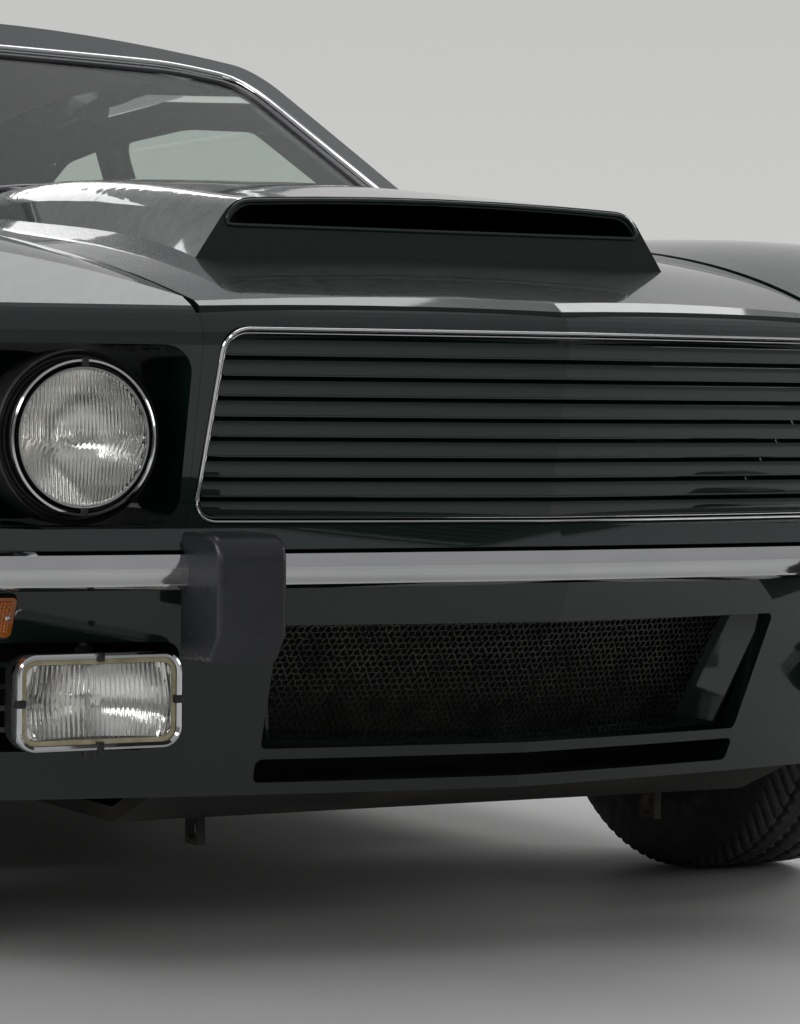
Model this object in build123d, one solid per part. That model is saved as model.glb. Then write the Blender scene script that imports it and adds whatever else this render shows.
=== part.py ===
from build123d import *

import os
from math import asin, atan, cos, pi, radians, sin, sqrt, tan

# Two-door grand tourer of the nineteen-seventies: long bonnet with an open scoop, louvred grille in a
# bright frame, single round headlamps in recessed panels, bright bumper with rubber overriders, deep
# air dam with two rectangular driving lamps, and a fastback tail.
#
# Frame: +Z up, front towards -Y, +X the car's left. Origin on the ground under the middle of the car.
# Stations s are measured rearwards from the grille's leading edge. All sizes are in millimetres.

# Driving dimensions of the whole car
LENGTH = 4667.0
OVERRIDER_REACH = 55.0
NOSE_Y = -LENGTH / 2 + OVERRIDER_REACH
TAIL_S = LENGTH - OVERRIDER_REACH
WHEELBASE = 2611.0
FRONT_AXLE_S = 790.0
REAR_AXLE_S = FRONT_AXLE_S + WHEELBASE
HALF_TRACK = 750.0

# Tyre and wheel
TYRE_RADIUS = 343.0
TYRE_WIDTH = 235.0
RIM_RADIUS = 200.0
RIM_WIDTH = 180.0
AXLE_Z = TYRE_RADIUS
STUB_RADIUS = 24.0
HUB_RADIUS = 62.0
BORE_CLEARANCE = 1.0
DISC_RADIUS = 137.0
DISC_THICKNESS = 24.0
KINGPIN_X = 690.0

# Sheet thicknesses and gaps
SKIN = 26.0
CABIN_WALL = 30.0
SHUT_GAP = 8.0
FRAME_GAP = 11.0
GLASS_THICKNESS = 6.0
GLASS_INSET = 6.0
SEAT = 0.3

# Nose curve in plan: crease slope on the centreline and radius of each half
NOSE_SLOPE = 0.11
NOSE_RADIUS = 4000.0
NOSE_HALF = 1000.0
FACE_RAKE = 0.2
FACE_FOOT_Z = 544.0
FACE_FOOT_S = 46.0
ROLL_RAKE = -1.7
ROLL_FOOT_Z = 777.0
ROLL_FOOT_S = -2.0
NOSE_EDGE_RADIUS = 48.0
NOSE_FLATS = 7
DAM_RAKE = 0.47
DAM_REF_Z = 423.0
DAM_REF_S = 25.0
LEDGE_Z = 478.0
DAM_TOP_Z = LEDGE_Z - 4.0
DAM_BOTTOM_Z = 219.0

# Bumper bars, and the ledge between the front bar and the nose
BUMPER_MIDDLE_Z = 494.0
BUMPER_HEIGHT = 44.0
BUMPER_DEPTH = 34.0
BUMPER_SLOPE = 0.03
BUMPER_RADIUS = 8500.0
BUMPER_CREASE_S = -6.0
BUMPER_CORNER_X = 752.0
BUMPER_SIDE_X = 910.0
BUMPER_END_S = 372.0
REAR_CREASE_S = TAIL_S - 34.0
REAR_BAR_RADIUS = 3300.0
REAR_END_S = 4060.0
LEDGE_LIP = 13.0
LEDGE_LEAN = 24.0
LEDGE_SHELF_Z = 540.0
LEDGE_FOOT_Z = 500.0
LEDGE_TURN_X = 650.0
LEDGE_END_X = 800.0

# Wheel arches
ARCH_RADIUS = 397.0
ARCH_INNER_X = 462.0
REAR_ARCH_RADIUS = 380.0
REAR_ARCH_INNER_X = 608.0
TUB_WALL = 6.0

# Shut lines
DOOR_FRONT_S = 1545.0
DOOR_REAR_S = 2668.0
SILL_Z = 238.0
DOOR_INNER_X = 778.0
COWL_S = 1404.0
BONNET_FRONT_S = 26.0
BONNET_FRONT_X = 440.0
BONNET_REAR_X = 628.0
WING_SEAM_X = 720.0
BOOT_FRONT_S = 3800.0
BOOT_REAR_S = 4530.0
BOOT_HALF = 560.0

# Lower body sections. Columns: station, bottom z, widest half width, wing crown z, shut line x,
# shut line z, centre z
BODY_SECTIONS = (
    (-80, 206, 742, 756, 426, 748, 772),
    (90, 205, 822, 806, 438, 794, 815),
    (250, 203, 874, 852, 456, 834, 850),
    (480, 200, 902, 898, 480, 872, 890),
    (900, 192, 913, 926, 530, 906, 928),
    (1500, 190, 908, 944, 634, 938, 962),
    (2100, 190, 903, 949, 640, 948, 970),
    (2750, 190, 906, 956, 640, 958, 978),
    (3400, 192, 914, 966, 640, 968, 984),
    (3900, 214, 903, 960, 620, 962, 976),
    (4300, 262, 874, 934, 592, 938, 951),
    (4640, 318, 832, 902, 566, 907, 919),
)
WIDEST_Z = 560.0
SILL_TUCK = 62.0
SHOULDER_RADIUS = 92.0
SIDE_LEAN = radians(18)
CROWN_SLOPE = radians(5)

# Cabin sections. Columns: station, half width at the foot, height of the roof corner
CABIN_SECTIONS = (
    (1250, 702, 1190),
    (1950, 708, 1218),
    (2350, 704, 1228),
    (2900, 690, 1194),
    (3350, 664, 1088),
    (3950, 628, 914),
)
CABIN_FOOT_Z = 860.0
CABIN_LEAN = radians(17)
ROOF_CORNER_RADIUS = 70.0
ROOF_SLOPE = radians(11)
SCREEN_FOOT_S = 1440.0
SCREEN_FOOT_Z = 970.0
SCREEN_RAKE = 1.87
SCREEN_RADIUS = 2900.0

os.makedirs("parts", exist_ok=True)
nodes = {}


def y_at(s):
    """Y of a station."""
    return NOSE_Y + s


def block(x0, x1, s0, s1, z0, z1):
    """A box between two corners, with stations along the car."""
    size = (x1 - x0, s1 - s0, z1 - z0)
    return Pos((x0 + x1) / 2, y_at((s0 + s1) / 2), (z0 + z1) / 2) * Box(*size)


def mirrored(shape):
    """The same piece on the other side of the car."""
    return shape.mirror(Plane.YZ)


def both(shape):
    """A piece with its mirrored twin."""
    return shape.solids() + mirrored(shape).solids()


def outline_face(points, corner, grow):
    """A flat face from corner points, with rounded corners, grown outwards or (below zero) inwards."""
    face = Face(Polyline(*points, close=True))
    if corner:
        face = face.fillet_2d(corner, face.vertices())
    if grow:
        face = Face(face.outer_wire().offset_2d(grow, kind=Kind.INTERSECTION))
    return face


def side_prism(points, x0, x1, corner=0.0, grow=0.0):
    """A side-view outline of (station, height) points, extruded across the car from x0 to x1."""
    face = outline_face([(x0, y_at(s), z) for s, z in points], corner, grow)
    return Solid.extrude(face, Vector(x1 - x0, 0, 0))


def front_prism(points, s0, s1, corner=0.0, grow=0.0):
    """A front-view outline of (x, z) points, extruded rearwards from s0 to s1."""
    face = outline_face([(x, y_at(s0), z) for x, z in points], corner, grow)
    return Solid.extrude(face, Vector(0, s1 - s0, 0))


def plan_prism(points, z0, z1, corner=0.0, grow=0.0):
    """A plan outline of (x, station) points, extruded upwards from z0 to z1."""
    face = outline_face([(x, y_at(s), z0) for x, s in points], corner, grow)
    return Solid.extrude(face, Vector(0, 0, z1 - z0))


def cylinder_x(radius, x0, x1, s, z):
    """A round bar across the car."""
    return Pos((x0 + x1) / 2, y_at(s), z) * Rot(0, 90, 0) * Cylinder(radius, x1 - x0)


def cylinder_s(radius, s0, s1, x, z):
    """A round bar along the car."""
    return Pos(x, y_at((s0 + s1) / 2), z) * Rot(90, 0, 0) * Cylinder(radius, s1 - s0)


def one(shape):
    """The single solid of a boolean result."""
    return max(shape.solids(), key=lambda solid: solid.volume)


def nose_offset(x):
    """How far the nose curve lies behind its centre at a distance x from the centreline."""
    return NOSE_SLOPE * abs(x) + x * x / (2 * NOSE_RADIUS)


def body_section(row, inset):
    """One closed section of the lower body: floor, sills, sides, shoulders, wing tops and deck."""
    s, bottom, half, crown, shut_x, shut_z, centre = row
    y = y_at(s)
    half, crown, bottom = half - inset, crown - inset, bottom + inset
    shut_z, centre, radius = shut_z - inset, centre - inset, SHOULDER_RADIUS - inset
    rise = crown - WIDEST_Z
    side = (rise - radius * (cos(CROWN_SLOPE) - sin(SIDE_LEAN))) / sin(SIDE_LEAN)
    x_side = half - side * (1 - cos(SIDE_LEAN))
    z_side = WIDEST_Z + side * sin(SIDE_LEAN)
    x_top = x_side - radius * (cos(SIDE_LEAN) - sin(CROWN_SLOPE))
    x_sill = half - SILL_TUCK

    def flank(k):
        """The edges of one side, k being 1 on the left and -1 on the right."""
        return [
            Edge.make_tangent_arc((k * half, y, WIDEST_Z), (0, 0, -1), (k * x_sill, y, bottom)),
            Edge.make_tangent_arc((k * half, y, WIDEST_Z), (0, 0, 1), (k * x_side, y, z_side)),
            Edge.make_tangent_arc(
                (k * x_side, y, z_side), (-k * sin(SIDE_LEAN), 0, cos(SIDE_LEAN)), (k * x_top, y, crown)
            ),
            Edge.make_tangent_arc(
                (k * x_top, y, crown), (-k * cos(CROWN_SLOPE), 0, sin(CROWN_SLOPE)), (k * shut_x, y, shut_z)
            ),
        ]

    deck = Edge.make_three_point_arc((shut_x, y, shut_z), (0, y, centre), (-shut_x, y, shut_z))
    floor = Edge.make_line((-x_sill, y, bottom), (x_sill, y, bottom))
    return Face(Wire([floor, deck] + flank(1) + flank(-1)))


def nose_block(inset, centre_s, at_z, rake, z0, z1):
    """Everything behind the nose curve, swept up a raked line so that its top leans forward."""
    s0 = centre_s + rake * (at_z - z0) + inset * sqrt(1 + rake * rake)
    y0, back = y_at(s0), y_at(TAIL_S + 400)
    mid, end = NOSE_HALF / 2, NOSE_HALF
    edges = []
    for k in (1, -1):
        edges.append(
            Edge.make_three_point_arc(
                (0, y0, z0), (k * mid, y0 + nose_offset(mid), z0), (k * end, y0 + nose_offset(end), z0)
            )
        )
        edges.append(Edge.make_line((k * end, y0 + nose_offset(end), z0), (k * end, back, z0)))
    edges.append(Edge.make_line((end, back, z0), (-end, back, z0)))
    return Solid.extrude(Face(Wire(edges)), Vector(0, -rake * (z1 - z0), z1 - z0))


def tail_block(inset):
    """Everything ahead of the tail panel, which curves in plan."""
    tail = y_at(TAIL_S - 70 - inset)
    z0, z1 = 150.0, 1100.0
    edges = [
        Edge.make_three_point_arc((-1000, tail - 160, z0), (0, tail, z0), (1000, tail - 160, z0)),
        Edge.make_line((1000, tail - 160, z0), (1000, y_at(-300), z0)),
        Edge.make_line((1000, y_at(-300), z0), (-1000, y_at(-300), z0)),
        Edge.make_line((-1000, y_at(-300), z0), (-1000, tail - 160, z0)),
    ]
    return Solid.extrude(Face(Wire(edges)), Vector(0, 0, z1 - z0))


def lower_body(inset):
    """The body up to the shoulders, as one solid, its nose rolled back above the grille."""
    hull = loft([body_section(row, inset) for row in BODY_SECTIONS])
    face = nose_block(inset, FACE_FOOT_S, FACE_FOOT_Z, FACE_RAKE, 100, 1100)
    roll = nose_block(inset, ROLL_FOOT_S, ROLL_FOOT_Z, ROLL_RAKE, 500, 1100)
    low = nose_block(inset, -300, ROLL_FOOT_Z, 0, 100, 501)
    return hull & face & (roll + low) & tail_block(inset)


def rounded_nose(body):
    """The body with its nose edge rounded: narrow flats, each touching one arc, take the corner off."""
    reach = FACE_RAKE * FACE_FOOT_Z - ROLL_RAKE * ROLL_FOOT_Z
    corner_z = (FACE_FOOT_S - ROLL_FOOT_S + reach) / (FACE_RAKE - ROLL_RAKE)
    corner_s = FACE_FOOT_S - FACE_RAKE * (corner_z - FACE_FOOT_Z)
    face_turn, roll_turn = atan(-FACE_RAKE), atan(-ROLL_RAKE)
    middle, half = (face_turn + roll_turn) / 2, (roll_turn - face_turn) / 2
    centre_s = corner_s + NOSE_EDGE_RADIUS / cos(half) * cos(middle)
    centre_z = corner_z - NOSE_EDGE_RADIUS / cos(half) * sin(middle)
    flats = None
    for k in range(1, NOSE_FLATS + 1):
        turn = face_turn + (roll_turn - face_turn) * k / (NOSE_FLATS + 1)
        s, z = centre_s - NOSE_EDGE_RADIUS * cos(turn), centre_z + NOSE_EDGE_RADIUS * sin(turn)
        flat = nose_block(0, s, z, -tan(turn), 500, 1100)
        flats = flat if flats is None else flats & flat
    low = nose_block(0, -300, ROLL_FOOT_Z, 0, 100, 501)
    return body & (flats + low)


def cabin_section(row, inset):
    """One closed section of the cabin: foot, leaning sides, rounded corners and crowned roof."""
    s, half, corner_z = row
    y = y_at(s)
    half, corner_z, radius = half - inset / cos(CABIN_LEAN), corner_z - inset, ROOF_CORNER_RADIUS - inset
    x_corner = half - (corner_z - CABIN_FOOT_Z) * tan(CABIN_LEAN)
    x_roof = x_corner - radius * (cos(CABIN_LEAN) - sin(ROOF_SLOPE))
    z_roof = corner_z + radius * (cos(ROOF_SLOPE) - sin(CABIN_LEAN))
    z_top = z_roof + x_roof * tan(ROOF_SLOPE / 2)
    edges = [
        Edge.make_line((-half, y, CABIN_FOOT_Z), (half, y, CABIN_FOOT_Z)),
        Edge.make_three_point_arc((x_roof, y, z_roof), (0, y, z_top), (-x_roof, y, z_roof)),
    ]
    for k in (1, -1):
        edges.append(Edge.make_line((k * half, y, CABIN_FOOT_Z), (k * x_corner, y, corner_z)))
        edges.append(
            Edge.make_tangent_arc(
                (k * x_corner, y, corner_z),
                (-k * sin(CABIN_LEAN), 0, cos(CABIN_LEAN)),
                (k * x_roof, y, z_roof),
            )
        )
    return Face(Wire(edges))


def screen_block(inset):
    """Everything behind the windscreen's surface, an arc in plan swept up the rake."""
    z0, z1 = 700.0, 1500.0
    s0 = SCREEN_FOOT_S - SCREEN_RAKE * (SCREEN_FOOT_Z - z0) + inset * sqrt(1 + SCREEN_RAKE**2)
    edge, bow = 1000.0, 1000.0**2 / (2 * SCREEN_RADIUS)
    y0, back = y_at(s0), y_at(TAIL_S)
    edges = [
        Edge.make_three_point_arc((-edge, y0 + bow, z0), (0, y0, z0), (edge, y0 + bow, z0)),
        Edge.make_line((edge, y0 + bow, z0), (edge, back, z0)),
        Edge.make_line((edge, back, z0), (-edge, back, z0)),
        Edge.make_line((-edge, back, z0), (-edge, y0 + bow, z0)),
    ]
    return Solid.extrude(Face(Wire(edges)), Vector(0, SCREEN_RAKE * (z1 - z0), z1 - z0))


def cabin(inset):
    """The glasshouse as one solid."""
    house = loft([cabin_section(row, inset) for row in CABIN_SECTIONS])
    return house & screen_block(inset)


# The whole skin of the car
hull_outer = rounded_nose(lower_body(0))
hull_inner = lower_body(SKIN)
cabin_outer = cabin(0)
cabin_inner = cabin(CABIN_WALL)
hull_shell = hull_outer - hull_inner
cabin_room = cabin_inner & block(-1000, 1000, SCREEN_FOOT_S, 3850, CABIN_FOOT_Z - 40, 1400)
house_shell = (cabin_outer - cabin_inner) - hull_inner
full_shell = (hull_shell - cabin_room) + house_shell
glass_band = cabin(GLASS_INSET) - cabin(GLASS_INSET + GLASS_THICKNESS)


def wheel_space(radius, s, inner_x):
    """The space of one left wheel arch."""
    return cylinder_x(radius, inner_x, 1100, s, AXLE_Z)


front_space = wheel_space(ARCH_RADIUS, FRONT_AXLE_S, ARCH_INNER_X)
rear_space = wheel_space(REAR_ARCH_RADIUS, REAR_AXLE_S, REAR_ARCH_INNER_X)
front_space = front_space + mirrored(front_space)
rear_space = rear_space + mirrored(rear_space)

# Outlines in side view, as (station, height)
DOOR_OUTLINE = (
    (DOOR_FRONT_S, SILL_Z),
    (DOOR_FRONT_S, 925),
    (1592, 955),
    (2064, 1200),
    (2350, 1221),
    (2678, 1207),
    (DOOR_REAR_S, 925),
    (DOOR_REAR_S, SILL_Z),
)
DOOR_WINDOW = ((1716, 972), (2084, 1163), (2350, 1184), (2640, 1173), (2630, 972))
QUARTER_WINDOW = ((2716, 972), (2722, 1169), (2900, 1150), (3215, 1034), (3190, 972))
SCREEN_WINDOW = ((-612, 988), (-530, 1230), (-400, 1252), (0, 1264), (400, 1252), (530, 1230), (612, 988))
REAR_WINDOW = ((-470, 2975), (470, 2975), (505, 3640), (0, 3705), (-505, 3640))
WINDOW_CORNER = 24.0


def bonnet_region(gap):
    """Plan region of the bonnet, V-shaped in front, widened by a gap."""
    corner = BONNET_FRONT_S + nose_offset(BONNET_FRONT_X)
    wide = BONNET_FRONT_X + gap
    rear = BONNET_REAR_X + gap
    points = [
        (0, BONNET_FRONT_S - gap),
        (wide, corner - gap),
        (rear, COWL_S + gap),
        (-rear, COWL_S + gap),
        (-wide, corner - gap),
    ]
    return plan_prism(points, 740, 1100)


# Bonnet scoop. Columns: station, foot half width, top half width, edge z, crown z
SCOOP_SECTIONS = (
    (330, 348, 286, 932, 940),
    (700, 340, 284, 966, 977),
    (1060, 326, 270, 980, 994),
    (1390, 306, 250, 950, 966),
)
BONNET_LIP_Z = 775.0
SCOOP_FOOT_Z = 840.0
SCOOP_WALL = 9.0
SCOOP_CORNER = 46.0
SCOOP_CHIN_Z = 899.0


def scoop_solid(inset):
    """The scoop's form: a flat-topped hump that sinks into the bonnet at its rear."""
    faces = []
    for s, foot, top, edge_z, crown_z in SCOOP_SECTIONS:
        y = y_at(s)
        foot_right, foot_left = (inset - foot, y, SCOOP_FOOT_Z), (foot - inset, y, SCOOP_FOOT_Z)
        top_right, top_left = (inset - top, y, edge_z - inset), (top - inset, y, edge_z - inset)
        crown = Edge.make_three_point_arc(top_right, (0, y, crown_z - inset), top_left)
        sides = [Edge.make_line(foot_right, top_right), Edge.make_line(top_left, foot_left)]
        face = Face(Wire([Edge.make_line(foot_left, foot_right), crown] + sides))
        upper = [v for v in face.vertices() if v.Z > SCOOP_FOOT_Z + 5]
        faces.append(face.fillet_2d(SCOOP_CORNER - inset, upper))
    return loft(faces)


def make_bonnet():
    """Bonnet panel with its open scoop."""
    panel = (hull_shell & bonnet_region(0)) - block(-500, 500, -200, 160, 700, BONNET_LIP_Z)
    outer = scoop_solid(0) - hull_inner
    mouth = scoop_solid(SCOOP_WALL) & block(-400, 400, 300, 900, SCOOP_CHIN_Z, 1000)
    return one((panel + outer) - mouth)


def make_wing():
    """Left front wing with its headlamp recess, from the nose to the door."""
    region = block(-1000, 1000, -200, DOOR_FRONT_S - SHUT_GAP, LEDGE_Z, 1000)
    region += block(600, 1000, 1150, DOOR_FRONT_S - SHUT_GAP, SILL_Z, LEDGE_Z + 1)
    left = block(BONNET_FRONT_X + 4, 1000, -200, 1600, 100, 1000)
    cowl = block(-1000, WING_SEAM_X, COWL_S, 1700, 700, 1000)
    return (hull_shell & (region & left)) - [bonnet_region(SHUT_GAP), cowl, front_space]


def lamp_recess(inset):
    """The rounded box of the left headlamp recess, open to the front."""
    x0, x1, z0, z1 = 454 + inset, 728 - inset, 541 + inset, 748 - inset
    points = [(x0, z0), (x0, z1), (x1, z1), (x1, z0)]
    return front_prism(points, -150, 225 - inset, 34 - inset)


LAMP_X = 584.0
LAMP_S = 97.0
LAMP_Z = 642.0
LAMP_RADIUS = 89.0
RECESS_WALL = 5.0


def bumper_offset(x):
    """How far the front bumper's crease lies behind its centre at a distance x from the centreline."""
    return BUMPER_SLOPE * x + x * x / (2 * BUMPER_RADIUS)


def ledge_slab(front, lean, z0, z1):
    """A slab that follows the front bumper and turns back to the wing; its front face leans back."""
    edges = []
    back = front + 420
    end = (LEDGE_END_X, y_at(FACE_FOOT_S + 20 + nose_offset(LEDGE_END_X)), z0)
    for k in (1, -1):
        points = [(k * x, y_at(front + bumper_offset(x)), z0) for x in (0, LEDGE_TURN_X / 2, LEDGE_TURN_X)]
        edges.append(Edge.make_three_point_arc(*points))
        edges.append(Edge.make_line(points[2], (k * end[0], end[1], z0)))
        edges.append(Edge.make_line((k * end[0], end[1], z0), (k * end[0], y_at(back), z0)))
    edges.append(Edge.make_line((-end[0], y_at(back), z0), (end[0], y_at(back), z0)))
    return Solid.extrude(Face(Wire(edges)), Vector(0, lean, z1 - z0))


def make_ledge():
    """The shelf between the nose face and the bumper: its lip lies over the bar, its foot behind it."""
    lip_z = BUMPER_MIDDLE_Z + BUMPER_HEIGHT / 2 + 1
    lip = ledge_slab(BUMPER_CREASE_S + LEDGE_LIP, LEDGE_LEAN, lip_z, LEDGE_SHELF_Z)
    foot = ledge_slab(BUMPER_CREASE_S + BUMPER_DEPTH + 4, 0, LEDGE_FOOT_Z, lip_z + 2)
    return (lip + foot) - hull_inner


def make_wings():
    """Both wings, each with the box of its headlamp recess and its end of the ledge."""
    wing = make_wing()
    box = lamp_recess(-RECESS_WALL) & hull_outer
    box = box & nose_block(0, FACE_FOOT_S + 8, FACE_FOOT_Z, FACE_RAKE, 100, 1100)
    ledge = make_ledge() & block(BONNET_FRONT_X + 4, 1000, -100, 400, 300, 700)
    wing = one((wing + [box, ledge]) - lamp_recess(0))
    nodes["wing_left"] = wing
    nodes["wing_right"] = mirrored(wing)


def make_nose():
    """Nose panel: the band round the grille and the ledge above the bumper."""
    front = block(-BONNET_FRONT_X - 3.7, BONNET_FRONT_X + 3.7, -200, 200, LEDGE_Z, 1000)
    panel = (hull_shell & front) - bonnet_region(SHUT_GAP)
    return (panel + (make_ledge() & front)) - grille_hole(0)


def grille_hole(inset):
    """The grille's opening, narrower at its top."""
    points = [
        (-440 + inset, 542 + inset),
        (-422 + inset, 770 - inset),
        (422 - inset, 770 - inset),
        (440 - inset, 542 + inset),
    ]
    return front_prism(points, -150, 400, 30 - inset)


def bumper_bar(crease_s, slope, radius, end_s):
    """A creased bar swept along its plan curve and round both corners; it runs towards end_s."""
    way = 1 if end_s > crease_s else -1
    x1 = BUMPER_CORNER_X

    def at(x):
        """Point of the crease line at a distance from the centreline."""
        return (x, y_at(crease_s + way * (slope * x + x * x / (2 * radius))), 0)

    front = Edge.make_three_point_arc(at(0), at(x1 / 2), at(x1))
    heading = front % 1
    turn = asin(abs(heading.Y))
    bend = (BUMPER_SIDE_X - x1) / (1 - sin(turn))
    x2, y2 = BUMPER_SIDE_X, at(x1)[1] + way * bend * cos(turn)
    corner = Edge.make_tangent_arc(at(x1), heading, (x2, y2, 0))
    side = Edge.make_line((x2, y2, 0), (x2, y_at(end_s), 0))
    start, half = y_at(crease_s), BUMPER_HEIGHT / 2
    profile = ((0, 3), (9, half - 4), (20, half), (BUMPER_DEPTH, half))
    lower = ((BUMPER_DEPTH, -half), (17, -half), (6, 5 - half))
    points = [(0, start + way * depth, z) for depth, z in profile + lower]
    swept = sweep(Face(Polyline(*points, close=True)), path=Wire([front, corner, side]))
    swept = swept.moved(Location((0, 0, BUMPER_MIDDLE_Z)))
    return one(swept + mirrored(swept))


OVERRIDER_X = 443.0
OVERRIDER_WIDTH = 85.0
OVERRIDER_Z0 = 394.0
OVERRIDER_Z1 = 537.0
OVERRIDER_TOP_RADIUS = 30.0
OVERRIDER_CUT_S = 30.0
OVERRIDER_CUT_Z = 22.0
OVERRIDER_EDGE_RADIUS = 7.0


def make_overrider():
    """Left front rubber overrider, rounded over the bar."""
    x0, x1 = OVERRIDER_X - OVERRIDER_WIDTH / 2, OVERRIDER_X + OVERRIDER_WIDTH / 2
    body = block(x0, x1, -OVERRIDER_REACH, 44, OVERRIDER_Z0, OVERRIDER_Z1)
    low, high = body.edges().filter_by(Axis.X).group_by(Axis.Y)[0].sort_by(Axis.Z)
    body = body.fillet(OVERRIDER_TOP_RADIUS, [high])
    low = body.edges().filter_by(Axis.X).group_by(Axis.Z)[0].sort_by(Axis.Y)[0]
    body = body.chamfer(OVERRIDER_CUT_S, OVERRIDER_CUT_Z, [low])
    sides = [edge for edge in body.edges() if abs((edge @ 0).X - (edge @ 1).X) < 1 and (edge @ 0.5).Y < y_at(20)]
    return body.fillet(OVERRIDER_EDGE_RADIUS, [edge for edge in sides if (edge @ 0.5).Z < OVERRIDER_Z1 - 1])


DAM_HOLES = (
    ((-345, 426), (345, 426), (334, 276), (-334, 276)),
    ((-337, 263), (337, 263), (334, 234), (-334, 234)),
)
SIDE_BLADES = 4
BLADE_THICKNESS = 6.0
SIDE_HOLE = ((452, 408), (704, 408), (694, 278), (460, 278))
SIDE_HOLE_CORNER = 20.0


def dam_block(inset):
    """Everything behind the air dam's face, whose foot slopes back."""
    return nose_block(inset, DAM_REF_S, DAM_REF_Z, DAM_RAKE, 100, 600)


# The intake's tapered duct. Columns: station, half width, bottom z, top z
DUCT_SECTIONS = ((60, 374, 270, 430), (300, 234, 303, 414))
DUCT_DEPTH = 46.0
DUCT_WALL = 4.0


def duct_taper(grow):
    """The solid taper behind the intake's mouth, grown by a wall."""
    faces = []
    for s, half, low, high in DUCT_SECTIONS:
        corners = ((-half - grow, low - grow), (half + grow, low - grow), (half + grow, high + grow),
                   (-half - grow, high + grow))
        faces.append(Face(Polyline(*[(x, y_at(s), z) for x, z in corners], close=True)))
    return loft(faces, ruled=True)


def make_duct():
    """The four walls that taper from the intake's mouth back to the mesh."""
    depth = dam_block(SKIN - 3) - dam_block(SKIN + DUCT_DEPTH)
    return (duct_taper(DUCT_WALL) - duct_taper(0)) & depth


def make_air_dam():
    """Air dam below the bumper, with its intake and duct, its slot and its lamp openings."""
    outer = loft([body_section(row, 0) for row in BODY_SECTIONS[:5]]) & dam_block(0)
    inner = loft([body_section(row, SKIN) for row in BODY_SECTIONS[:5]]) & dam_block(SKIN)
    zone = block(-1000, 1000, -200, FRONT_AXLE_S - ARCH_RADIUS + 30, DAM_BOTTOM_Z, DAM_TOP_Z)
    dam = (outer & zone) - inner
    for hole in DAM_HOLES:
        dam = dam - front_prism(hole, -150, 500, 8)
    side = front_prism(SIDE_HOLE, -150, 420, SIDE_HOLE_CORNER)
    dam = dam - side - mirrored(side) - front_space
    blades = outer & dam_block(8)
    blades = blades - inner
    for k in range(SIDE_BLADES):
        z = SIDE_HOLE[2][1] + (k + 1) * (SIDE_HOLE[0][1] - SIDE_HOLE[2][1]) / (SIDE_BLADES + 1)
        blade = blades & block(446, 706, -100, 420, z - BLADE_THICKNESS / 2, z + BLADE_THICKNESS / 2)
        dam = dam + blade + mirrored(blade)
    return one(dam + make_duct())


def door_space(gap):
    """The space of the left door, widened by a gap."""
    return side_prism(DOOR_OUTLINE, 480, 1100, 0, gap)


def boot_region(gap):
    """Plan region of the boot lid, widened by a gap."""
    half = BOOT_HALF
    points = [(-half, BOOT_FRONT_S), (half, BOOT_FRONT_S), (half, BOOT_REAR_S), (-half, BOOT_REAR_S)]
    return plan_prism(points, 860, 1150, 40, gap)


TAIL_PANEL_HALF = 740.0
TAIL_PANEL_Z0 = 520.0
TAIL_PANEL_Z1 = 862.0
JAMB_THICKNESS = 12.0


def tail_region(gap):
    """The region of the panel between the rear quarters."""
    half = TAIL_PANEL_HALF + gap
    return block(-half, half, BOOT_REAR_S - 170, TAIL_S + 100, TAIL_PANEL_Z0 - gap, TAIL_PANEL_Z1 + gap)


def window_holes(gap):
    """The openings of windscreen, rear glass and quarter glasses, grown by a gap."""
    screen = front_prism(SCREEN_WINDOW, 1300, 2140, WINDOW_CORNER, gap)
    rear = plan_prism(REAR_WINDOW, 900, 1400, 60, gap)
    quarter = side_prism(QUARTER_WINDOW, 480, 900, 20, gap)
    return {"windscreen": screen, "rear": rear, "quarter": quarter}


def make_cabin_shell():
    """Roof, pillars, cowl and rear quarters, welded as one, with the window openings cut."""
    door_end = DOOR_REAR_S + SHUT_GAP
    low = [
        block(-1000, 1000, -300, door_end, 100, 880),
        block(-1000, 1000, door_end - 1, TAIL_S + 200, 100, SILL_Z),
        block(-1000, 1000, -300, COWL_S + SHUT_GAP, 800, 1100),
        block(WING_SEAM_X, 1000, -300, DOOR_FRONT_S - SHUT_GAP, 800, 1100),
        block(-1000, -WING_SEAM_X, -300, DOOR_FRONT_S - SHUT_GAP, 800, 1100),
    ]
    upper = door_space(FRAME_GAP) & block(0, 1000, 1000, 4000, 930, 1400)
    door, holes = door_space(SHUT_GAP) + upper, window_holes(0)
    quarter = holes["quarter"]
    cuts = low + [door, mirrored(door), quarter, mirrored(quarter), holes["windscreen"]]
    cuts += [holes["rear"], boot_region(SHUT_GAP), tail_region(0), rear_space]
    shell = full_shell - cuts
    jamb = block(700, 1000, door_end, door_end + JAMB_THICKNESS, SILL_Z, 940) & hull_inner
    return one(shell + both(jamb))


def make_glasses():
    """Fixed window glasses, each just inside its opening."""
    panes = {}
    for name, hole in window_holes(-SEAT).items():
        pane = glass_band & hole
        if name == "windscreen":
            pane = pane & block(-1000, 1000, 1300, 2120, 900, 1300)
        panes[name] = one(pane)
    nodes["windscreen"] = panes["windscreen"]
    nodes["rear_glasses"] = Compound([panes["rear"]] + both(panes["quarter"]))


def make_door():
    """Left door: a deep lower box under the waist and a thin window frame above it."""
    space = door_space(0)
    deep = (hull_outer & block(DOOR_INNER_X, 1100, 1500, 2700, SILL_Z, 1000)) & space
    window = side_prism(DOOR_WINDOW, 480, 900, 26)
    door = (full_shell & space) - window
    door = one(door + deep)
    pane = one(glass_band & side_prism(DOOR_WINDOW, 480, 900, 26, -SEAT))
    return door, pane


MIRROR_S = 1690.0
MIRROR_X = 872.0
MIRROR_Z = 986.0


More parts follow.
